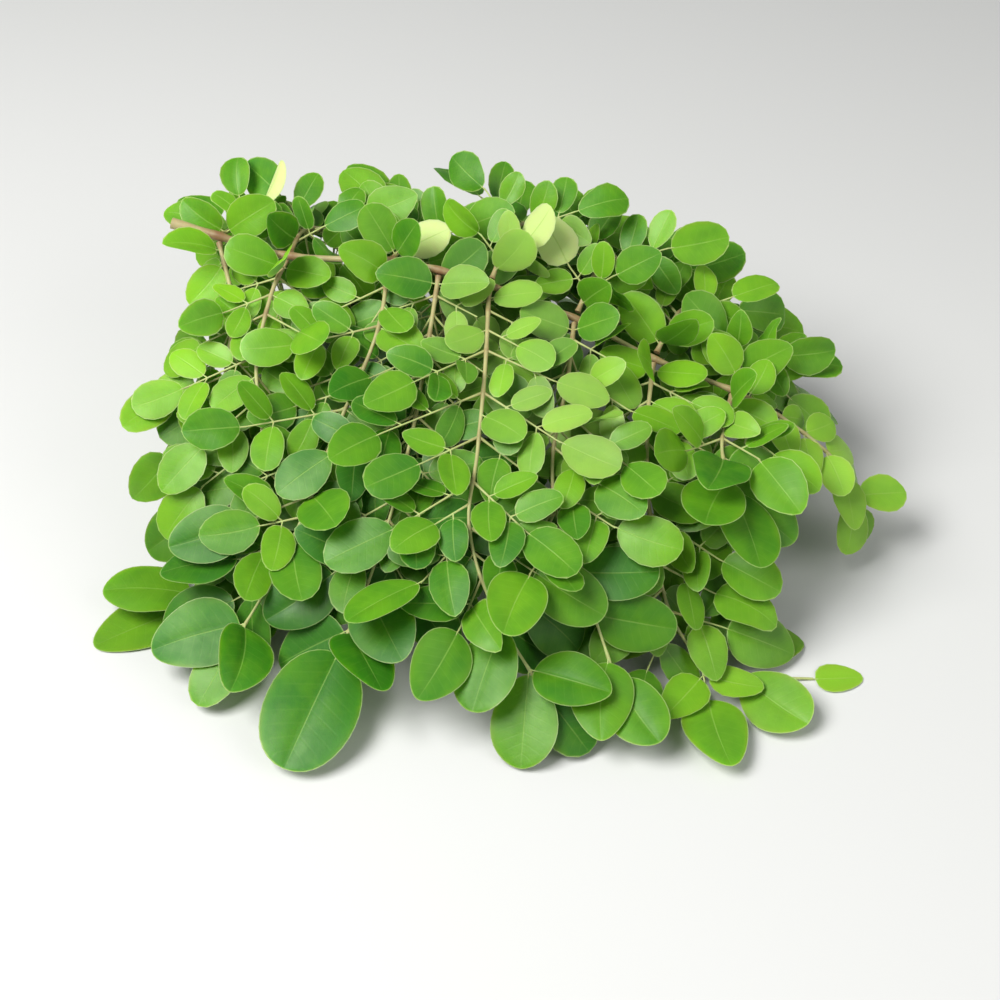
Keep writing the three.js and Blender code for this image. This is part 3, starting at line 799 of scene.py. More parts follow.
def loosen(heap, sprays):
    """Turns the fine blades further than the solids are, each as far as it stays clear of the others, and
    then finds how much room each has to curl in."""
    places = {centre.tobytes(): number for number, centre in enumerate(heap.centres)}
    turned_leaflets = []
    for spray, leaflet in ((spray, leaflet) for spray in sprays.values() for leaflet in leaflets_of(spray)):
        draws = [heap.draw() for _ in LOOSE_TURNS]
        if leaflet.get("set"):
            continue
        number = places[leaflet["centre"].tobytes()]
        heap.spray = spray["number"]
        heap.lift_out(number)
        for share in LOOSE_SHARES:
            roll, pitch, swing = (share * most * draw for most, draw in zip(LOOSE_TURNS, draws))
            side = right_of(leaflet["along"], leaflet["normal"])
            along = turned(turned(leaflet["along"], leaflet["normal"], swing), side, pitch)
            normal = turned(facing(along, leaflet["normal"]), along, roll)
            width_to_length = leaflet["width"] / leaflet["length"]
            freer = heap.leaflet_at(leaflet["foot"], along, normal, leaflet["length"], width_to_length)
            if heap.leaflet_is_clear(freer, LOOSE_CLEARANCE):
                leaflet.update(freer)
                break
        heap.put_back(number, leaflet)
        turned_leaflets.append((spray, number, leaflet))
    for spray, number, leaflet in turned_leaflets:
        heap.spray = spray["number"]
        heap.lift_out(number)
        leaflet["room"] = next((room for room in ROOMS if heap.leaflet_is_clear(leaflet, room)), LEAST_ROOM)
        heap.put_back(number, leaflet)


def set_painted_shade(leaflets):
    """Gives each leaflet its painted shade: how many others hide it from the sky, on average over the ways
    up, which later darkens its green. A blade seen on edge counts as if it were a little tilted."""
    centres = np.array([leaflet["centre"] for leaflet in leaflets])
    axes = np.array([leaflet["axes"] for leaflet in leaflets])
    ways = [UP] + [leaving(UP, turned(TOWARDS_VIEWER, UP, turn), SKY_TILT) for turn in range(0, 360, 45)]
    layers = np.zeros(len(leaflets))
    for way in ways:
        slope = axes[:, 2] @ way
        slope = np.where(np.abs(slope) < EDGE_ON, EDGE_ON, slope)
        apart = centres[None] - centres[:, None]
        reach = np.einsum("jk,ijk->ij", axes[:, 2], apart) / slope
        spot = np.einsum("jmk,ijk->ijm", axes[:, :2], way * reach[..., None] - apart)
        layers += ((reach > 1) & ((spot**2).sum(-1) < 1)).sum(1)
    for leaflet, covered in zip(leaflets, layers / len(ways)):
        leaflet["shade"] = min(covered / DEEPEST_SHADE, 1)


class Field:
    """A value that a node tree works out for every point, so that nodes read as plain arithmetic."""

    def __init__(self, maker, socket):
        self.maker, self.socket = maker, socket

    def maths(self, operation, *values, clamp=False):
        inputs = enumerate((self, *values))
        return self.maker.made("ShaderNodeMath", inputs, operation=operation, use_clamp=clamp)

    def __add__(self, other):
        return self.maths("ADD", other)

    def __sub__(self, other):
        return self.maths("SUBTRACT", other)

    def __rsub__(self, other):
        return self * -1.0 + other

    def __mul__(self, other):
        return self.maths("MULTIPLY", other)

    def __pow__(self, power):
        return self.maths("POWER", power)

    def __abs__(self):
        return self.maths("ABSOLUTE")

    def clamped(self):
        return self.maths("MULTIPLY", 1.0, clamp=True)

    def eased(self, low, high, to_low=0.0, to_high=1.0):
        """The value eased from one range to another."""
        inputs = {"Value": self, "From Min": low, "From Max": high, "To Min": to_low, "To Max": to_high}
        return self.maker.made("ShaderNodeMapRange", inputs, "Result", interpolation_type="SMOOTHSTEP")

    def blend(self, first, second):
        """Two colours, mixed by this value."""
        return self.maker.made("ShaderNodeMix", {0: self, 6: first, 7: second}, 2, data_type="RGBA")


class VectorField(Field):
    """A vector that a node tree works out for every point."""

    def __add__(self, other):
        node = self.maker.node("ShaderNodeVectorMath", {0: self, 1: other}, operation="ADD")
        return VectorField(self.maker, node.outputs[0])

    def __mul__(self, factor):
        node = self.maker.node("ShaderNodeVectorMath", {0: self, "Scale": factor}, operation="SCALE")
        return VectorField(self.maker, node.outputs[0])

    def parts(self):
        node = self.maker.node("ShaderNodeSeparateXYZ", {0: self})
        return [Field(self.maker, socket) for socket in node.outputs]


class Maker:
    """Builds one node tree."""

    def __init__(self, tree):
        self.tree = tree

    def fill(self, node, inputs):
        """Links or sets a node's inputs."""
        for name, value in dict(inputs).items():
            if isinstance(value, Field):
                value = value.socket
            if isinstance(value, bpy.types.NodeSocket):
                self.tree.links.new(value, node.inputs[name])
            else:
                node.inputs[name].default_value = value

    def node(self, kind, inputs=(), **settings):
        node = self.tree.nodes.new(kind)
        for name, value in settings.items():
            setattr(node, name, value)
        self.fill(node, inputs)
        return node

    def made(self, kind, inputs=(), output=0, **settings):
        """What a new node puts out."""
        return Field(self, self.node(kind, inputs, **settings).outputs[output])

    def vector(self, kind, inputs=(), **settings):
        return VectorField(self, self.node(kind, inputs, **settings).outputs[0])

    def combined(self, x=0.0, y=0.0, z=0.0):
        return self.made("ShaderNodeCombineXYZ", {0: x, 1: y, 2: z})

    def read(self, name):
        """A number that the points carry."""
        return self.made("GeometryNodeInputNamedAttribute", {"Name": name}, data_type="FLOAT")

    def read_vector(self, name):
        return self.vector("GeometryNodeInputNamedAttribute", {"Name": name}, data_type="FLOAT_VECTOR")

    def read_in_shader(self, name):
        return self.made("ShaderNodeAttribute", (), "Fac", attribute_type="GEOMETRY", attribute_name=name)

    def stored(self, geometry, name, value, kind="FLOAT", domain="POINT"):
        inputs = {"Geometry": geometry, "Name": name, "Value": value}
        return self.made("GeometryNodeStoreNamedAttribute", inputs, data_type=kind, domain=domain)

    def group(self, tree, inputs):
        """What a shader group puts out, by name."""
        node = self.node("ShaderNodeGroup", (), node_tree=tree)
        self.fill(node, inputs)
        return {socket.name: Field(self, socket) for socket in node.outputs}


def new_group(name, kind, inputs, outputs):
    """A maker of a node group with named inputs and outputs, what the group is given, and its end node."""
    tree = bpy.data.node_groups.new(name, kind)
    for way, sockets in (("INPUT", inputs), ("OUTPUT", outputs)):
        for label, socket_type in sockets.items():
            tree.interface.new_socket(label, in_out=way, socket_type=f"NodeSocket{socket_type}")
    maker = Maker(tree)
    start = tree.nodes.new("NodeGroupInput")
    given = {socket.name: Field(maker, socket) for socket in start.outputs if socket.name}
    return maker, given, tree.nodes.new("NodeGroupOutput")


def blade_sheet(maker, rows, columns, side):
    """One side of a blade as a flat grid, bulged off the other side but for its border. Its map "blade"
    runs from the left rim to the right, and from the blade's base to its tip."""
    inputs = {"Size X": 2.0, "Size Y": 2.0, "Vertices X": columns + 1.0, "Vertices Y": rows + 1.0}
    sheet = maker.made("GeometryNodeMeshGrid", inputs, "Mesh")
    if side < 0:
        sheet = maker.made("GeometryNodeFlipFaces", {"Mesh": sheet})
    flat_x, flat_y = maker.vector("GeometryNodeInputPosition").parts()[:2]
    across = flat_x * abs(flat_x) ** CROWDED_TO_RIB * 0.5 + 0.5
    along = (flat_y * (math.pi / 2)).maths("SINE") * 0.5 + 0.5
    sheet = maker.stored(sheet, "blade", maker.combined(across, along), "FLOAT2", "CORNER")
    inner = (1.0 - abs(flat_x) ** BORDER_POWER) * (1.0 - abs(flat_y) ** BORDER_POWER)
    inputs = {"Geometry": sheet, "Offset": maker.combined(z=inner * side)}
    sheet = maker.made("GeometryNodeSetPosition", inputs)
    return maker.stored(sheet, "side", side, "FLOAT", "FACE")


def blade_cell(maker, rows, columns):
    """A flat closed blade: its upper side, and an underside that is half as fine across."""
    sheets = maker.node("GeometryNodeJoinGeometry")
    for side, across in ((1.0, columns), (-1.0, columns * 0.5)):
        maker.fill(sheets, {0: blade_sheet(maker, rows, across, side)})
    inputs = {"Geometry": sheets.outputs[0], "Distance": FLAT_SEAM}
    closed = maker.made("GeometryNodeMergeByDistance", inputs)
    height = maker.vector("GeometryNodeInputPosition").parts()[2]
    return maker.stored(closed, "lift", height)


def leaflet_tree():
    """A tree that grows a closed, curved leaflet at each point, in the shape that its attributes give."""
    maker, given, result = new_group(
        "Leaflets",
        "GeometryNodeTree",
        {
            "Points": "Geometry",
            "Rows": "Int",
            "Columns": "Int",
            "Large From": "Float",
            "Large Fineness": "Float",
            "Thickness": "Float",
            "Leaflet Stalk": "Float",
            "Rib Groove": "Float",
            "Wave Turns": "Float",
            "Material": "Material",
        },
        {"Geometry": "Geometry"},
    )
    length = maker.read("length")
    inputs = {0: length, 1: given["Large From"]}
    is_large = maker.made("FunctionNodeCompare", inputs, operation="GREATER_THAN")
    is_small = maker.made("FunctionNodeBooleanMath", {0: is_large}, operation="NOT")
    copies = maker.node("GeometryNodeJoinGeometry")
    for chosen, fineness in ((is_small, 1.0), (is_large, given["Large Fineness"])):
        cell = blade_cell(maker, given["Rows"] * fineness, given["Columns"] * fineness)
        inputs = {"Points": given["Points"], "Selection": chosen, "Instance": cell}
        maker.fill(copies, {0: maker.made("GeometryNodeInstanceOnPoints", inputs)})
    blades = maker.made("GeometryNodeRealizeInstances", {"Geometry": copies.outputs[0]})

    # The shape of each blade, from where a vertex is on it: across is -1 and 1 at its rims and 0 at its rib.
    across, along = maker.read_vector("blade").parts()[:2]
    across = across * 2.0 - 1.0
    rest = 1.0 - along
    hump = along * rest * 4.0
    lean = maker.read("ovate") * (rest - along) + 1.0
    outline = hump ** (maker.read("fullness") * 0.5) * lean
    half_width = maker.read("width") * 0.5
    off_rib = abs(across)
    square = across * across
    turn = 2 * math.pi
    side_shift = across.maths("SIGN") * WAVE_SIDE_SHIFT
    wave_angle = along * given["Wave Turns"] * turn + maker.read("phase") * turn + side_shift
    rib = 1.0 - (off_rib * RIB_NARROWNESS).maths("MINIMUM", 1.0)
    lift = maker.read("lift")
    rises = (
        hump * maker.read("arch") * (given["Leaflet Stalk"] + length)
        + off_rib * outline * half_width * maker.read("fold")
        + square * outline * half_width * maker.read("cup")
        + wave_angle.maths("SINE") * square * outline * maker.read("wave")
        + along * along * along * length * maker.read("tip_curl")
        + across * outline * half_width * along * maker.read("twist")
        - rib * outline * given["Rib Groove"]
        + lift * given["Thickness"] * 0.5 * (outline * END_TAPER).maths("MINIMUM", 1.0)
    )
    sideways = across * outline * half_width + hump * length * maker.read("sickle")
    forward = along * length + given["Leaflet Stalk"]
    position = maker.read_vector("foot") + maker.read_vector("along") * forward
    position = position + maker.read_vector("right") * sideways + maker.read_vector("normal") * rises

    # A blade that droops to the floor lies on it.
    place_x, place_y, place_z = position.parts()
    lowest = (lift * 0.5 + 0.5) * given["Thickness"]
    position = maker.combined(place_x, place_y, place_z.maths("MAXIMUM", lowest))
    blades = maker.made("GeometryNodeSetPosition", {"Geometry": blades, "Position": position})
    blades = maker.made("GeometryNodeMergeByDistance", {"Geometry": blades, "Distance": GROWN_SEAM})
    blades = maker.made("GeometryNodeSetShadeSmooth", {"Geometry": blades})
    angle = maker.made("GeometryNodeInputMeshEdgeAngle", (), "Unsigned Angle")
    is_rim = maker.made("FunctionNodeCompare", {0: angle, 1: CREASE_ANGLE}, operation="GREATER_THAN")
    inputs = {"Geometry": blades, "Selection": is_rim, "Shade Smooth": False}
    blades = maker.made("GeometryNodeSetShadeSmooth", inputs, domain="EDGE")
    finish(maker, blades, given, result)
    return maker.tree


def stalk_tree():
    """A tree that makes a closed round stalk of each chain of edges, as thick as its points say."""
    inputs = {"Chains": "Geometry", "Sides": "Int", "Material": "Material"}
    maker, given, result = new_group("Stalks", "GeometryNodeTree", inputs, {"Geometry": "Geometry"})
    curves = maker.made("GeometryNodeMeshToCurve", {"Mesh": given["Chains"]})
    circle = maker.made("GeometryNodeCurvePrimitiveCircle", {"Resolution": given["Sides"], "Radius": 1.0})
    inputs = {"Curve": curves, "Profile Curve": circle, "Scale": maker.read("girth"), "Fill Caps": True}
    tubes = maker.made("GeometryNodeCurveToMesh", inputs)
    tubes = maker.made("GeometryNodeSetShadeSmooth", {"Geometry": tubes})
    tubes = maker.made("GeometryNodeRealizeInstances", {"Geometry": tubes})
    finish(maker, tubes, given, result)
    return maker.tree


def finish(maker, geometry, given, result):
    """Gives the tree's geometry its material and puts it out."""
    inputs = {"Geometry": geometry, "Material": given["Material"]}
    maker.fill(result, {"Geometry": maker.made("GeometryNodeSetMaterial", inputs)})


def in_metres(points):
    """Points of the heap's own frame, in metres from the origin."""
    return (np.asarray(points, float) - MIDDLE) * MM


def grow_mesh(name, points, edges, attributes, tree, values):
    """A plain mesh object that a tree grows from points or edges that carry attributes."""
    seeds = bpy.data.meshes.new(name + "_seeds")
    seeds.from_pydata([tuple(point) for point in points], edges, [])
    for key, numbers in attributes.items():
        numbers = np.asarray(numbers, np.float32)
        is_vector = numbers.ndim == 2
        layer = seeds.attributes.new(key, "FLOAT_VECTOR" if is_vector else "FLOAT", "POINT")
        layer.data.foreach_set("vector" if is_vector else "value", numbers.ravel())
    holder = bpy.data.objects.new(name + "_seeds", seeds)
    bpy.context.scene.collection.objects.link(holder)
    modifier = holder.modifiers.new("grow", "NODES")
    modifier.node_group = tree
    sockets = {item.name: item.identifier for item in tree.interface.items_tree if item.in_out == "INPUT"}
    for label, value in values.items():
        modifier[sockets[label]] = value
    graph = bpy.context.evaluated_depsgraph_get()
    grown = bpy.data.meshes.new_from_object(
        holder.evaluated_get(graph), preserve_all_data_layers=True, depsgraph=graph
    )
    holder.modifiers.remove(modifier)
    bpy.data.objects.remove(holder)
    bpy.data.meshes.remove(seeds)
    grown.name = name
    piece = bpy.data.objects.new(name, grown)
    bpy.context.scene.collection.objects.link(piece)
    return piece


def blade_pattern():
    """A shader group that finds the rib, the side veins and the rim from a spot on the blade."""
    inputs = {"Across": "Float", "Along": "Float", "Half Width": "Float", "Veins": "Float"}
    outputs = {"Rib": "Float", "Vein": "Float", "Rim": "Float"}
    maker, given, result = new_group("Blade Pattern", "ShaderNodeTree", inputs, outputs)
    across, along, half_width = given["Across"], given["Along"], given["Half Width"]
    off_rib = abs(across)
    centred = along * 2.0 - 1.0
    roundness = 1.0 - centred * centred
    outline = roundness.maths("MAXIMUM", 0.0).maths("SQRT")
    rib = (off_rib * outline * half_width).eased(*RIB_EDGE) * along.eased(*RIB_FADE)
    stripe = ((along - off_rib * VEIN_SLANT) * given["Veins"]).maths("FRACT")
    vein = abs(stripe - 0.5).eased(*VEIN_EDGE) * off_rib.eased(*VEIN_FADE)
    radius = (centred * centred + across * across * roundness).maths("SQRT")
    rim = ((1.0 - radius) * half_width).eased(*RIM_EDGE)
    maker.fill(result, {"Rib": rib, "Vein": vein, "Rim": rim})
    return maker.tree


def mottle_pattern():
    """A shader group of soft uneven patches, from 0 to 1, that both the leaflets and the stalks have."""
    inputs = {"Scale": "Float", "Detail": "Float"}
    maker, given, result = new_group("Mottle", "ShaderNodeTree", inputs, {"Value": "Float"})
    spot = maker.made("ShaderNodeTexCoord", (), "Object")
    inputs = given | {"Vector": spot, "Roughness": MOTTLE_ROUGHNESS}
    noise = maker.made("ShaderNodeTexNoise", inputs, "Fac")
    maker.fill(result, {"Value": noise.eased(*MOTTLE_EDGE)})
    return maker.tree


def new_material(name):
    """A material, a maker of its nodes, and its shader."""
    material = bpy.data.materials.new(name)
    material.use_nodes = True
    return material, Maker(material.node_tree), material.node_tree.nodes["Principled BSDF"]


def leaf_material(look, mottle):
    """Moringa green: young blades yellow-green, ripe ones deep, with pale ribs, rims and undersides, and
    painted shade that darkens the blades deep in the heap.
    """
    material, maker, shader = new_material("leaflet_green")
    across, along = maker.vector("ShaderNodeUVMap", uv_map="blade").parts()[:2]
    half_width = maker.read_in_shader("width") * 0.5
    inputs = {"Across": across * 2.0 - 1.0, "Along": along, "Half Width": half_width, "Veins": look.veins}
    marks = maker.group(blade_pattern(), inputs)
    patches = maker.group(mottle, PATCHES)["Value"]
    grain = maker.group(mottle, BLADE_GRAIN)["Value"]
    pallor = maker.read_in_shader("pallor")
    is_under = maker.read_in_shader("side").eased(0.1, -0.1)
    uneven = maker.read_in_shader("ripeness") + (patches * UNEVENNESS - UNEVENNESS / 2)

    green = uneven.clamped().blend(look.young, look.ripe)
    green = (pallor * PALLOR_SHARE).blend(green, look.bleached)
    green = (marks["Vein"] * VEIN_SHARE).blend(green, look.rib)
    green = (marks["Rib"] * RIB_SHARE).blend(green, look.rib)
    green = (marks["Rim"] * RIM_SHARE).blend(green, look.rim)
    under = pallor.blend(look.underside, look.bleached)
    under = (marks["Rib"] * RIB_BELOW_SHARE).blend(under, look.rib)
    green = (is_under * BELOW_SHARE).blend(green, under)
    # Painted shade: blades that other blades hide from the sky are darkened towards a deep green.
    green = (maker.read_in_shader("shade") * PAINTED_SHADE_SHARE).blend(green, look.painted_shade_green)

    relief = marks["Rib"] * RIB_RELIEF + marks["Vein"] * VEIN_RELIEF + grain * BLADE_GRAIN_RELIEF
    inputs = {
        "Base Color": green,
        "Roughness": patches * 0.12 + BLADE_ROUGHNESS + is_under * UNDERSIDE_ROUGHER,
        "Normal": maker.made("ShaderNodeBump", BLADE_RELIEF | {"Height": relief}),
        "Specular IOR Level": 0.3,
        **BLADE_GLOW,
    }
    maker.fill(shader, inputs)
    return material


def stalk_material(look, mottle):
    """Stalk skin: tan on the oldest stalks, green on the youngest, and red-brown at the joints."""
    material, maker, shader = new_material("stalk_skin")
    streaks = maker.group(mottle, STREAKS)["Value"]
    grain = maker.group(mottle, STALK_GRAIN)["Value"]
    skin = maker.read_in_shader("youth").clamped().blend(look.old, look.young)
    skin = (streaks * 0.35).blend(skin, look.shade)
    blush = maker.read_in_shader("joint") * (streaks * 0.5 + 0.6)
    relief = streaks + grain * STALK_GRAIN_RELIEF
    inputs = {
        "Base Color": blush.clamped().blend(skin, look.joint),
        "Roughness": grain * 0.2 + STALK_ROUGHNESS,
        "Normal": maker.made("ShaderNodeBump", STALK_RELIEF | {"Height": relief}),
        **STALK_GLOW,
    }
    maker.fill(shader, inputs)
    return material


def floor_material(look):
    """A plain pale floor."""
    material, maker, shader = new_material("pale_floor")
    maker.fill(shader, {"Base Color": look.floor, "Roughness": 0.9})
    return material


def leaflets_of(spray):
    return [leaflet for twig in spray["twigs"] for leaflet in twig["leaflets"]]


def odd_looks(leaflets):
    """How much more bleached and riper each leaflet is than its place in the spray says, and which way up."""
    bleach = np.array([leaflet.get("bleach", 0.0) for leaflet in leaflets])
    riper = np.zeros(len(leaflets))
    way_up = np.ones(len(leaflets))
    centres = np.array([leaflet["centre"] for leaflet in leaflets])
    for middle, radius, more_bleach, more_ripe, is_over in ODD_PLACES:
        distances = np.linalg.norm(centres - middle, axis=1)
        nearness = np.clip(ODD_PLACE_FADES_AT - distances / radius, 0, 1)
        bleach = np.maximum(bleach, more_bleach * nearness)
        riper += more_ripe * nearness
        if is_over:
            way_up[nearness > 0.5] = -1
    return bleach, riper, way_up


def leaflet_seeds(leaflets, ripeness, chance):
    """The points and attributes that grow into a spray's leaflets. `chance` gives the seeded draws."""
    flat = np.array([leaflet.get("flat", False) for leaflet in leaflets])
    room = np.array([leaflet.get("room", ROOMS[0]) for leaflet in leaflets]) / ROOMS[0]
    bleach, riper, way_up = odd_looks(leaflets)
    normal = np.array([leaflet["normal"] for leaflet in leaflets]) * way_up[:, None]
    along = np.array([leaflet["along"] for leaflet in leaflets])
    length = np.array([leaflet["length"] for leaflet in leaflets])
    foot = in_metres([leaflet["foot"] for leaflet in leaflets])
    spread = chance.uniform(-1, 1, (len(leaflets), len(BLADE_SHAPES)))
    shapes = {
        name: middle + most * spread[:, column]
        for column, (name, (middle, most)) in enumerate(BLADE_SHAPES.items())
    }
    for name in BLADE_CURLS:
        shapes[name] = np.where(flat, 0.0, room) * shapes[name]
    shapes["fold"] = np.where(flat, FLAT_FOLD, shapes["fold"])
    shapes["wave"] *= MM
    growth = np.clip((length - SMALL_LENGTH) / (LARGE_LENGTH - SMALL_LENGTH), 0, 1)
    riper += shapes["ripeness"] + RIPER_BY_SIZE * (growth - MEAN_GROWTH)
    attributes = {
        **shapes,
        "foot": foot,
        "along": along,
        "normal": normal,
        "right": np.cross(along, normal),
        "length": length * MM,
        "width": np.array([leaflet["width"] for leaflet in leaflets]) * MM,
        "ripeness": np.clip(ripeness + riper, 0, 1),
        "pallor": bleach,
        # The painted shade of each blade, which darkens its green in the material.
        "shade": np.array([leaflet["shade"] for leaflet in leaflets]),
    }
    return foot, attributes


def chain(route_at, count, girth, youth, joint):
    """One stalk as a chain: points in metres, and for each its girth, youth and joint colour."""
    shares = np.linspace(0, 1, count)
    return [
        (in_metres(route_at(share)), girth(share) * MM, youth(share), joint(share))
        for share in shares
    ]


def spray_chain(spray):
    """The stalk of a side spray, which swells and blushes at its foot and where its twigs leave it."""
    route, pairs = spray["route"], spray["pairs"]

    def at_foot(share, length):
        return math.exp(-share * route.length / length)

    def at_joint(share):
        between = share * pairs - 0.5
        return math.exp(-(((between - round(between)) * route.length / pairs / SPRAY_JOINT_LENGTH) ** 2))

    def girth(share):
        at_its_foot = SPRAY_FOOT_SWELLING * at_foot(share, SPRAY_FOOT_LENGTH)
        return mix(*SPRAY_RADII, share) + SPRAY_JOINT_SWELLING * at_joint(share) + at_its_foot

    def blush(share):
        by_joint = SPRAY_JOINT_BLUSH * at_joint(share) * (1 - SPRAY_BLUSH_FADE * share)
        return by_joint + SPRAY_FOOT_BLUSH * at_foot(share, 2 * SPRAY_FOOT_LENGTH)

    return chain(route.along, SPRAY_RINGS * pairs, girth, lambda share: mix(*SPRAY_YOUTH, share), blush)


def twig_chain(twig):
    """The stalk of a twig."""
    return chain(
        lambda share: mix(twig["foot"], twig["end"], share),
        TWIG_RINGS,
        lambda share: mix(*TWIG_RADII, share) + TWIG_FOOT_SWELLING * math.exp(-share * TWIG_SWELLING_FADE),
        lambda share: mix(*TWIG_YOUTH, share),
        lambda share: TWIG_BLUSH * math.exp(-share * TWIG_BLUSH_FADE),
    )


def leaflet_stalk_chain(leaflet):
    """The short stalk of a leaflet, which ends a little way into the blade."""
    reach = leaflet["along"] * (LEAFLET_STALK + LEAFLET_STALK_IN_BLADE * leaflet["length"])
    return chain(
        lambda share: leaflet["foot"] + reach * share,
        LEAFLET_STALK_RINGS,
        lambda share: mix(*LEAFLET_STALK_RADII, share),
        lambda share: 1.0,
        lambda share: 0.0,
    )


def stalk_piece(name, chains, sides):
    """One mesh of closed round stalks, one for each chain."""
    points, edges, rows = [], [], []
    for links in chains:
        start = len(points)
        points += [link[0] for link in links]
        rows += [link[1:] for link in links]
        edges += [(k, k + 1) for k in range(start, len(points) - 1)]
    girth, youth, joint = np.array(rows).T
    attributes = {"girth": girth, "youth": youth, "joint": joint}
    values = {"Sides": sides, "Material": SPRIG["stalk_material"]}
    return grow_mesh(name, points, edges, attributes, SPRIG["stalk_tree"], values)


def hand_in(piece, node):
    """The piece moves with the sprig, and may stand for a node of the frame."""
    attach(piece, "root")
    if node:
        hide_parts(node)


def colour(name, description, red, green, blue):
    return bpy.props.FloatVectorProperty(
        name=name, description=description, subtype="COLOR", size=4, default=(red, green, blue, 1)
    )


def measure(name, description, default):
    return bpy.props.FloatProperty(name=name, description=description, default=default, unit="LENGTH")


class SprigLeafLook(bpy.types.PropertyGroup):
    """Sizes and colours of the leaflets."""

    thickness: measure("Thickness", "Thickness of a blade", 0.24 * MM)
    groove: measure("Rib Groove", "How deep the rib lies in the blade", 0.14 * MM)
    wave_turns: bpy.props.FloatProperty(
        name="Wave Turns", description="Waves along a blade's edge", default=1.4
    )
    veins: bpy.props.FloatProperty(
        name="Veins", description="Side veins on each side of the rib", default=9.0
    )
    rows: bpy.props.IntProperty(name="Rows", description="Faces from a blade's base to its tip", default=8)
    columns: bpy.props.IntProperty(name="Columns", description="Faces across a blade's upper side", default=4)
    large_from: measure("Large From", "Length from which a blade is made finer", 20 * MM)
    large_fineness: bpy.props.FloatProperty(
        name="Large Fineness", description="How much finer a large blade is", default=2
    )
    young: colour("Young", "Green of young blades", 0.24, 0.52, 0.018)
    ripe: colour("Ripe", "Green of ripe blades", 0.036, 0.18, 0.006)
    # Painted shade: the deep green that blades hidden from the sky by other blades are darkened towards.
    painted_shade_green: colour("Shaded", "Green deep in the heap", 0.008, 0.045, 0.003)
    underside: colour("Underside", "Green of the undersides", 0.36, 0.58, 0.15)
    rib: colour("Rib", "Colour of ribs and veins", 0.38, 0.58, 0.12)
    rim: colour("Rim", "Colour of the thin rims", 0.46, 0.66, 0.18)
    bleached: colour("Bleached", "Colour of the palest blades", 0.7, 0.84, 0.3)


class SprigStalkLook(bpy.types.PropertyGroup):
    """Sizes and colours of the stalks."""

    sides: bpy.props.IntProperty(name="Sides", description="Sides of a side stalk", default=10)
    slimness: bpy.props.FloatProperty(
        name="Slimness",
        description="Girth of the main stalk, as a share of its node's",
        default=0.8,
        subtype="FACTOR",
    )
    old: colour("Old", "Skin of the oldest stalks", 0.46, 0.36, 0.18)
    young: colour("Young", "Skin of the youngest stalks", 0.47, 0.58, 0.19)
    joint: colour("Joint", "Skin at the joints", 0.22, 0.11, 0.045)
    shade: colour("Shade", "Darker streaks in the skin", 0.28, 0.2, 0.09)


class SprigStageLook(bpy.types.PropertyGroup):
    """The floor, the light and the camera."""

    floor: colour("Floor", "Colour of the floor", 0.7, 0.7, 0.68)
    floor_size: measure("Floor Size", "Side of the floor", 6.0)
    elevation: bpy.props.FloatProperty(
        name="Elevation", description="Height of the camera's view", default=math.radians(42), subtype="ANGLE"
    )
    distance: measure("Distance", "From the camera to the heap", 0.48)
    lens: bpy.props.FloatProperty(
        name="Lens", description="Focal length in millimetres", default=61.34, unit="CAMERA"
    )
    key_power: bpy.props.FloatProperty(
        name="Key Light", description="Power of the main light", default=11.0, unit="POWER"
    )
    fill_power: bpy.props.FloatProperty(
        name="Fill Light", description="Power of the filling light", default=2.2, unit="POWER"
    )
    sky: bpy.props.FloatProperty(name="Sky", description="Strength of the light all round", default=0.22)


class SPRIG_OT_main_stalk(bpy.types.Operator):
    """Make the main stalk with its joints and its swollen cut foot"""

    bl_idname = "sprig.main_stalk"
    bl_label = "Main Stalk"

    def execute(self, context):
        route = SPRIG["main"]
        slimness = context.scene.sprig_stalk_look.slimness
        foot, joints = np.array(MAIN_ROUTE[0], float), np.array(MAIN_ROUTE[1:], float)

        def swelling(distance, length):
            return math.exp(-((distance / length) ** 2))

        def from_joint(share):
            return float(np.linalg.norm(joints - route.at(share), axis=1).min())

        def girth(share):
            from_foot = float(np.linalg.norm(route.at(share) - foot))
            return slimness * (
                mix(MAIN_RADIUS_AT_CUT, MAIN_RADIUS_AT_TIP, share)
                + JOINT_SWELLING * swelling(from_joint(share), JOINT_LENGTH)
                + FOOT_SWELLING * swelling(from_foot, FOOT_LENGTH)
            )

        def youth(share):
            return mix(*MAIN_YOUTH, share)

        def blush(share):
            return MAIN_BLUSH * swelling(from_joint(share), MAIN_BLUSH_LENGTH)

        links = chain(route.at, MAIN_RINGS, girth, youth, blush)
        piece = stalk_piece("main_stalk_skin", [links], MAIN_SIDES)
        hand_in(piece, "main_stalk")
        return {"FINISHED"}


class SPRIG_OT_side_stalks(bpy.types.Operator):
    """Make the thin stalks of the side sprays, with their twigs and the stalks of their leaflets"""

    bl_idname = "sprig.side_stalks"
    bl_label = "Side Stalks"

    def execute(self, context):
        sides = context.scene.sprig_stalk_look.sides
        for name, spray in SPRIG["sprays"].items():
            chains = [spray_chain(spray)]
            for twig in spray["twigs"]:
                if np.linalg.norm(twig["end"] - twig["foot"]) > 1:
                    chains.append(twig_chain(twig))
                chains += [leaflet_stalk_chain(leaflet) for leaflet in twig["leaflets"]]
            hand_in(stalk_piece(f"stalks_{name}", chains, sides), None)
        return {"FINISHED"}


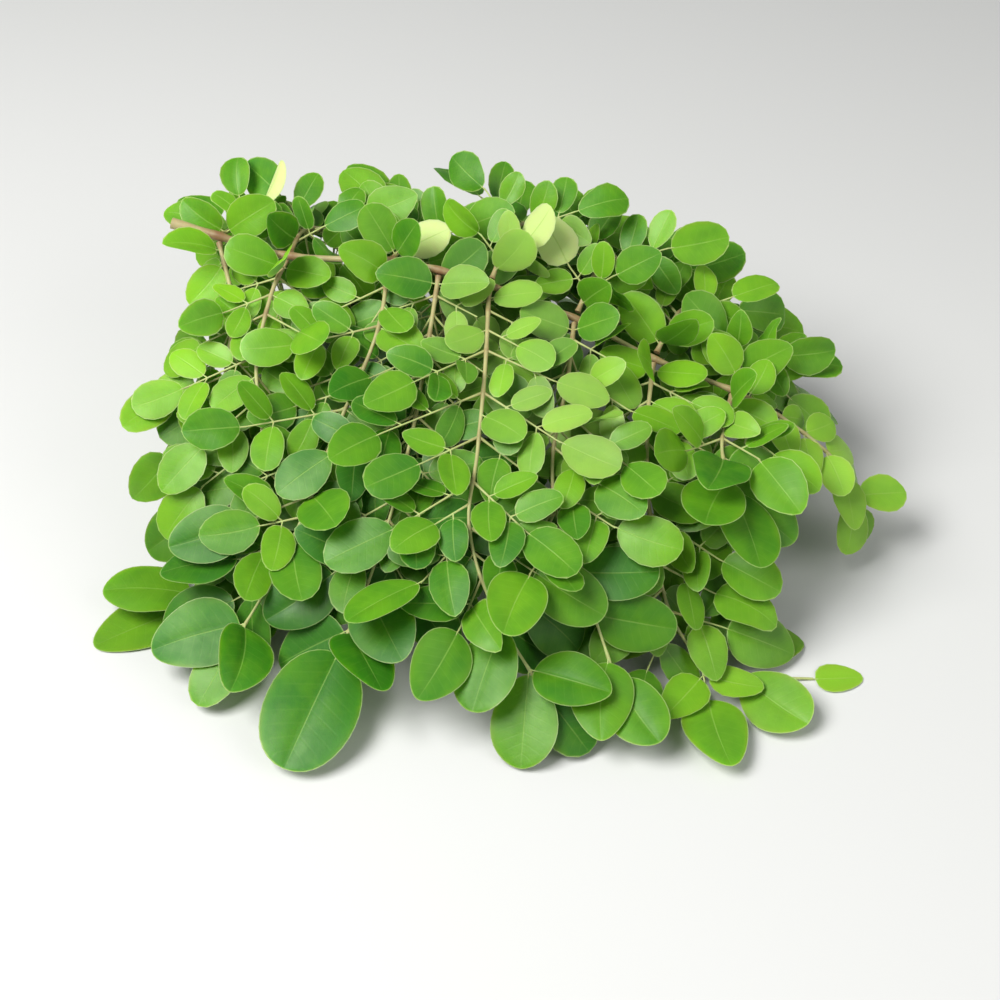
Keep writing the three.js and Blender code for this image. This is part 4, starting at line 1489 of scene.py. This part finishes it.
class SPRIG_OT_leaflets(bpy.types.Operator):
    """Grow the leaflets of all the sprays"""

    bl_idname = "sprig.leaflets"
    bl_label = "Leaflets"

    def execute(self, context):
        look = context.scene.sprig_leaf_look
        tree = leaflet_tree()
        values = {
            "Rows": look.rows,
            "Columns": look.columns,
            "Large From": look.large_from,
            "Large Fineness": look.large_fineness,
            "Thickness": look.thickness,
            "Leaflet Stalk": LEAFLET_STALK * MM,
            "Rib Groove": look.groove,
            "Wave Turns": look.wave_turns,
            "Material": leaf_material(look, SPRIG["mottle"]),
        }
        chance = np.random.default_rng(SEED)
        # Works out each blade's painted shade before its seeds are made.
        set_painted_shade([leaflet for spray in SPRIG["sprays"].values() for leaflet in leaflets_of(spray)])
        for name, spray in SPRIG["sprays"].items():
            leaflets = leaflets_of(spray)
            points, attributes = leaflet_seeds(leaflets, spray["ripeness"], chance)
            piece = grow_mesh(f"leaflets_{name}", points, [], attributes, tree, values)
            hand_in(piece, f"spray_{name}")
        return {"FINISHED"}


class SPRIG_OT_stage(bpy.types.Operator):
    """Set out the pale floor, the soft lights and the camera"""

    bl_idname = "sprig.stage"
    bl_label = "Stage"

    def execute(self, context):
        look = context.scene.sprig_stage_look
        scene = context.scene
        half = look.floor_size / 2
        corners = [(-half, -half, 0), (half, -half, 0), (half, half, 0), (-half, half, 0)]
        mesh = bpy.data.meshes.new("floor")
        mesh.from_pydata(corners, [], [(0, 1, 2, 3)])
        mesh.materials.append(floor_material(look))
        floor = bpy.data.objects.new("floor", mesh)
        scene.collection.objects.link(floor)

        world = bpy.data.worlds.new("sky")
        world.use_nodes = True
        background = world.node_tree.nodes["Background"]
        Maker(world.node_tree).fill(background, {"Color": SKY_COLOUR, "Strength": look.sky})
        scene.world = world

        aim = Vector(in_metres(AIM))
        self.light(scene, "key", aim, KEY_OFFSET, KEY_SIZE, look.key_power)
        self.light(scene, "fill", aim, FILL_OFFSET, FILL_SIZE, look.fill_power)

        camera = bpy.data.cameras.new("camera")
        camera.lens = look.lens
        camera.sensor_width = SENSOR_WIDTH
        camera.shift_y = CAMERA_SHIFT
        camera.clip_start = NEAREST_SEEN
        holder = bpy.data.objects.new("camera", camera)
        back = Vector((0, -math.cos(look.elevation), math.sin(look.elevation)))
        holder.location = aim + back * look.distance
        holder.rotation_euler = (math.pi / 2 - look.elevation, 0, 0)
        scene.collection.objects.link(holder)
        scene.camera = holder
        scene.view_settings.view_transform = "Standard"
        return {"FINISHED"}

    @staticmethod
    def light(scene, name, aim, offset, size, power):
        """A soft square light that looks at the heap."""
        light = bpy.data.lights.new(name, "AREA")
        light.energy = power
        light.size = size
        holder = bpy.data.objects.new(name, light)
        holder.location = aim + Vector(offset)
        holder.rotation_euler = (-Vector(offset)).to_track_quat("-Z", "Y").to_euler()
        scene.collection.objects.link(holder)


class SPRIG_PT_panel(bpy.types.Panel):
    """The sprig's pieces in the 3D view's sidebar"""

    bl_idname = "SPRIG_PT_panel"
    bl_label = "Moringa Leaf Sprig"
    bl_space_type = "VIEW_3D"
    bl_region_type = "UI"
    bl_category = "Sprig"

    def draw(self, context):
        for operator in OPERATORS:
            self.layout.operator(operator.bl_idname)
        for look in (getattr(context.scene, name) for name in LOOKS):
            for name in look.__annotations__:
                self.layout.prop(look, name)


LOOKS = {
    "sprig_leaf_look": SprigLeafLook,
    "sprig_stalk_look": SprigStalkLook,
    "sprig_stage_look": SprigStageLook,
}
OPERATORS = (SPRIG_OT_main_stalk, SPRIG_OT_side_stalks, SPRIG_OT_leaflets, SPRIG_OT_stage)
SPRIG = {}


def register():
    for cls in (*LOOKS.values(), *OPERATORS, SPRIG_PT_panel):
        bpy.utils.register_class(cls)
    for name, cls in LOOKS.items():
        setattr(bpy.types.Scene, name, bpy.props.PointerProperty(type=cls))


def unregister():
    for name in LOOKS:
        delattr(bpy.types.Scene, name)
    for cls in (SPRIG_PT_panel, *OPERATORS, *LOOKS.values()):
        bpy.utils.unregister_class(cls)


def main():
    register()
    SPRIG["main"], SPRIG["sprays"] = grow_sprig()
    SPRIG["mottle"] = mottle_pattern()
    SPRIG["stalk_tree"] = stalk_tree()
    SPRIG["stalk_material"] = stalk_material(bpy.context.scene.sprig_stalk_look, SPRIG["mottle"])
    bpy.ops.sprig.main_stalk()
    bpy.ops.sprig.side_stalks()
    bpy.ops.sprig.leaflets()
    bpy.ops.sprig.stage()
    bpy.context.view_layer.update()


if __name__ == "__main__":
    main()
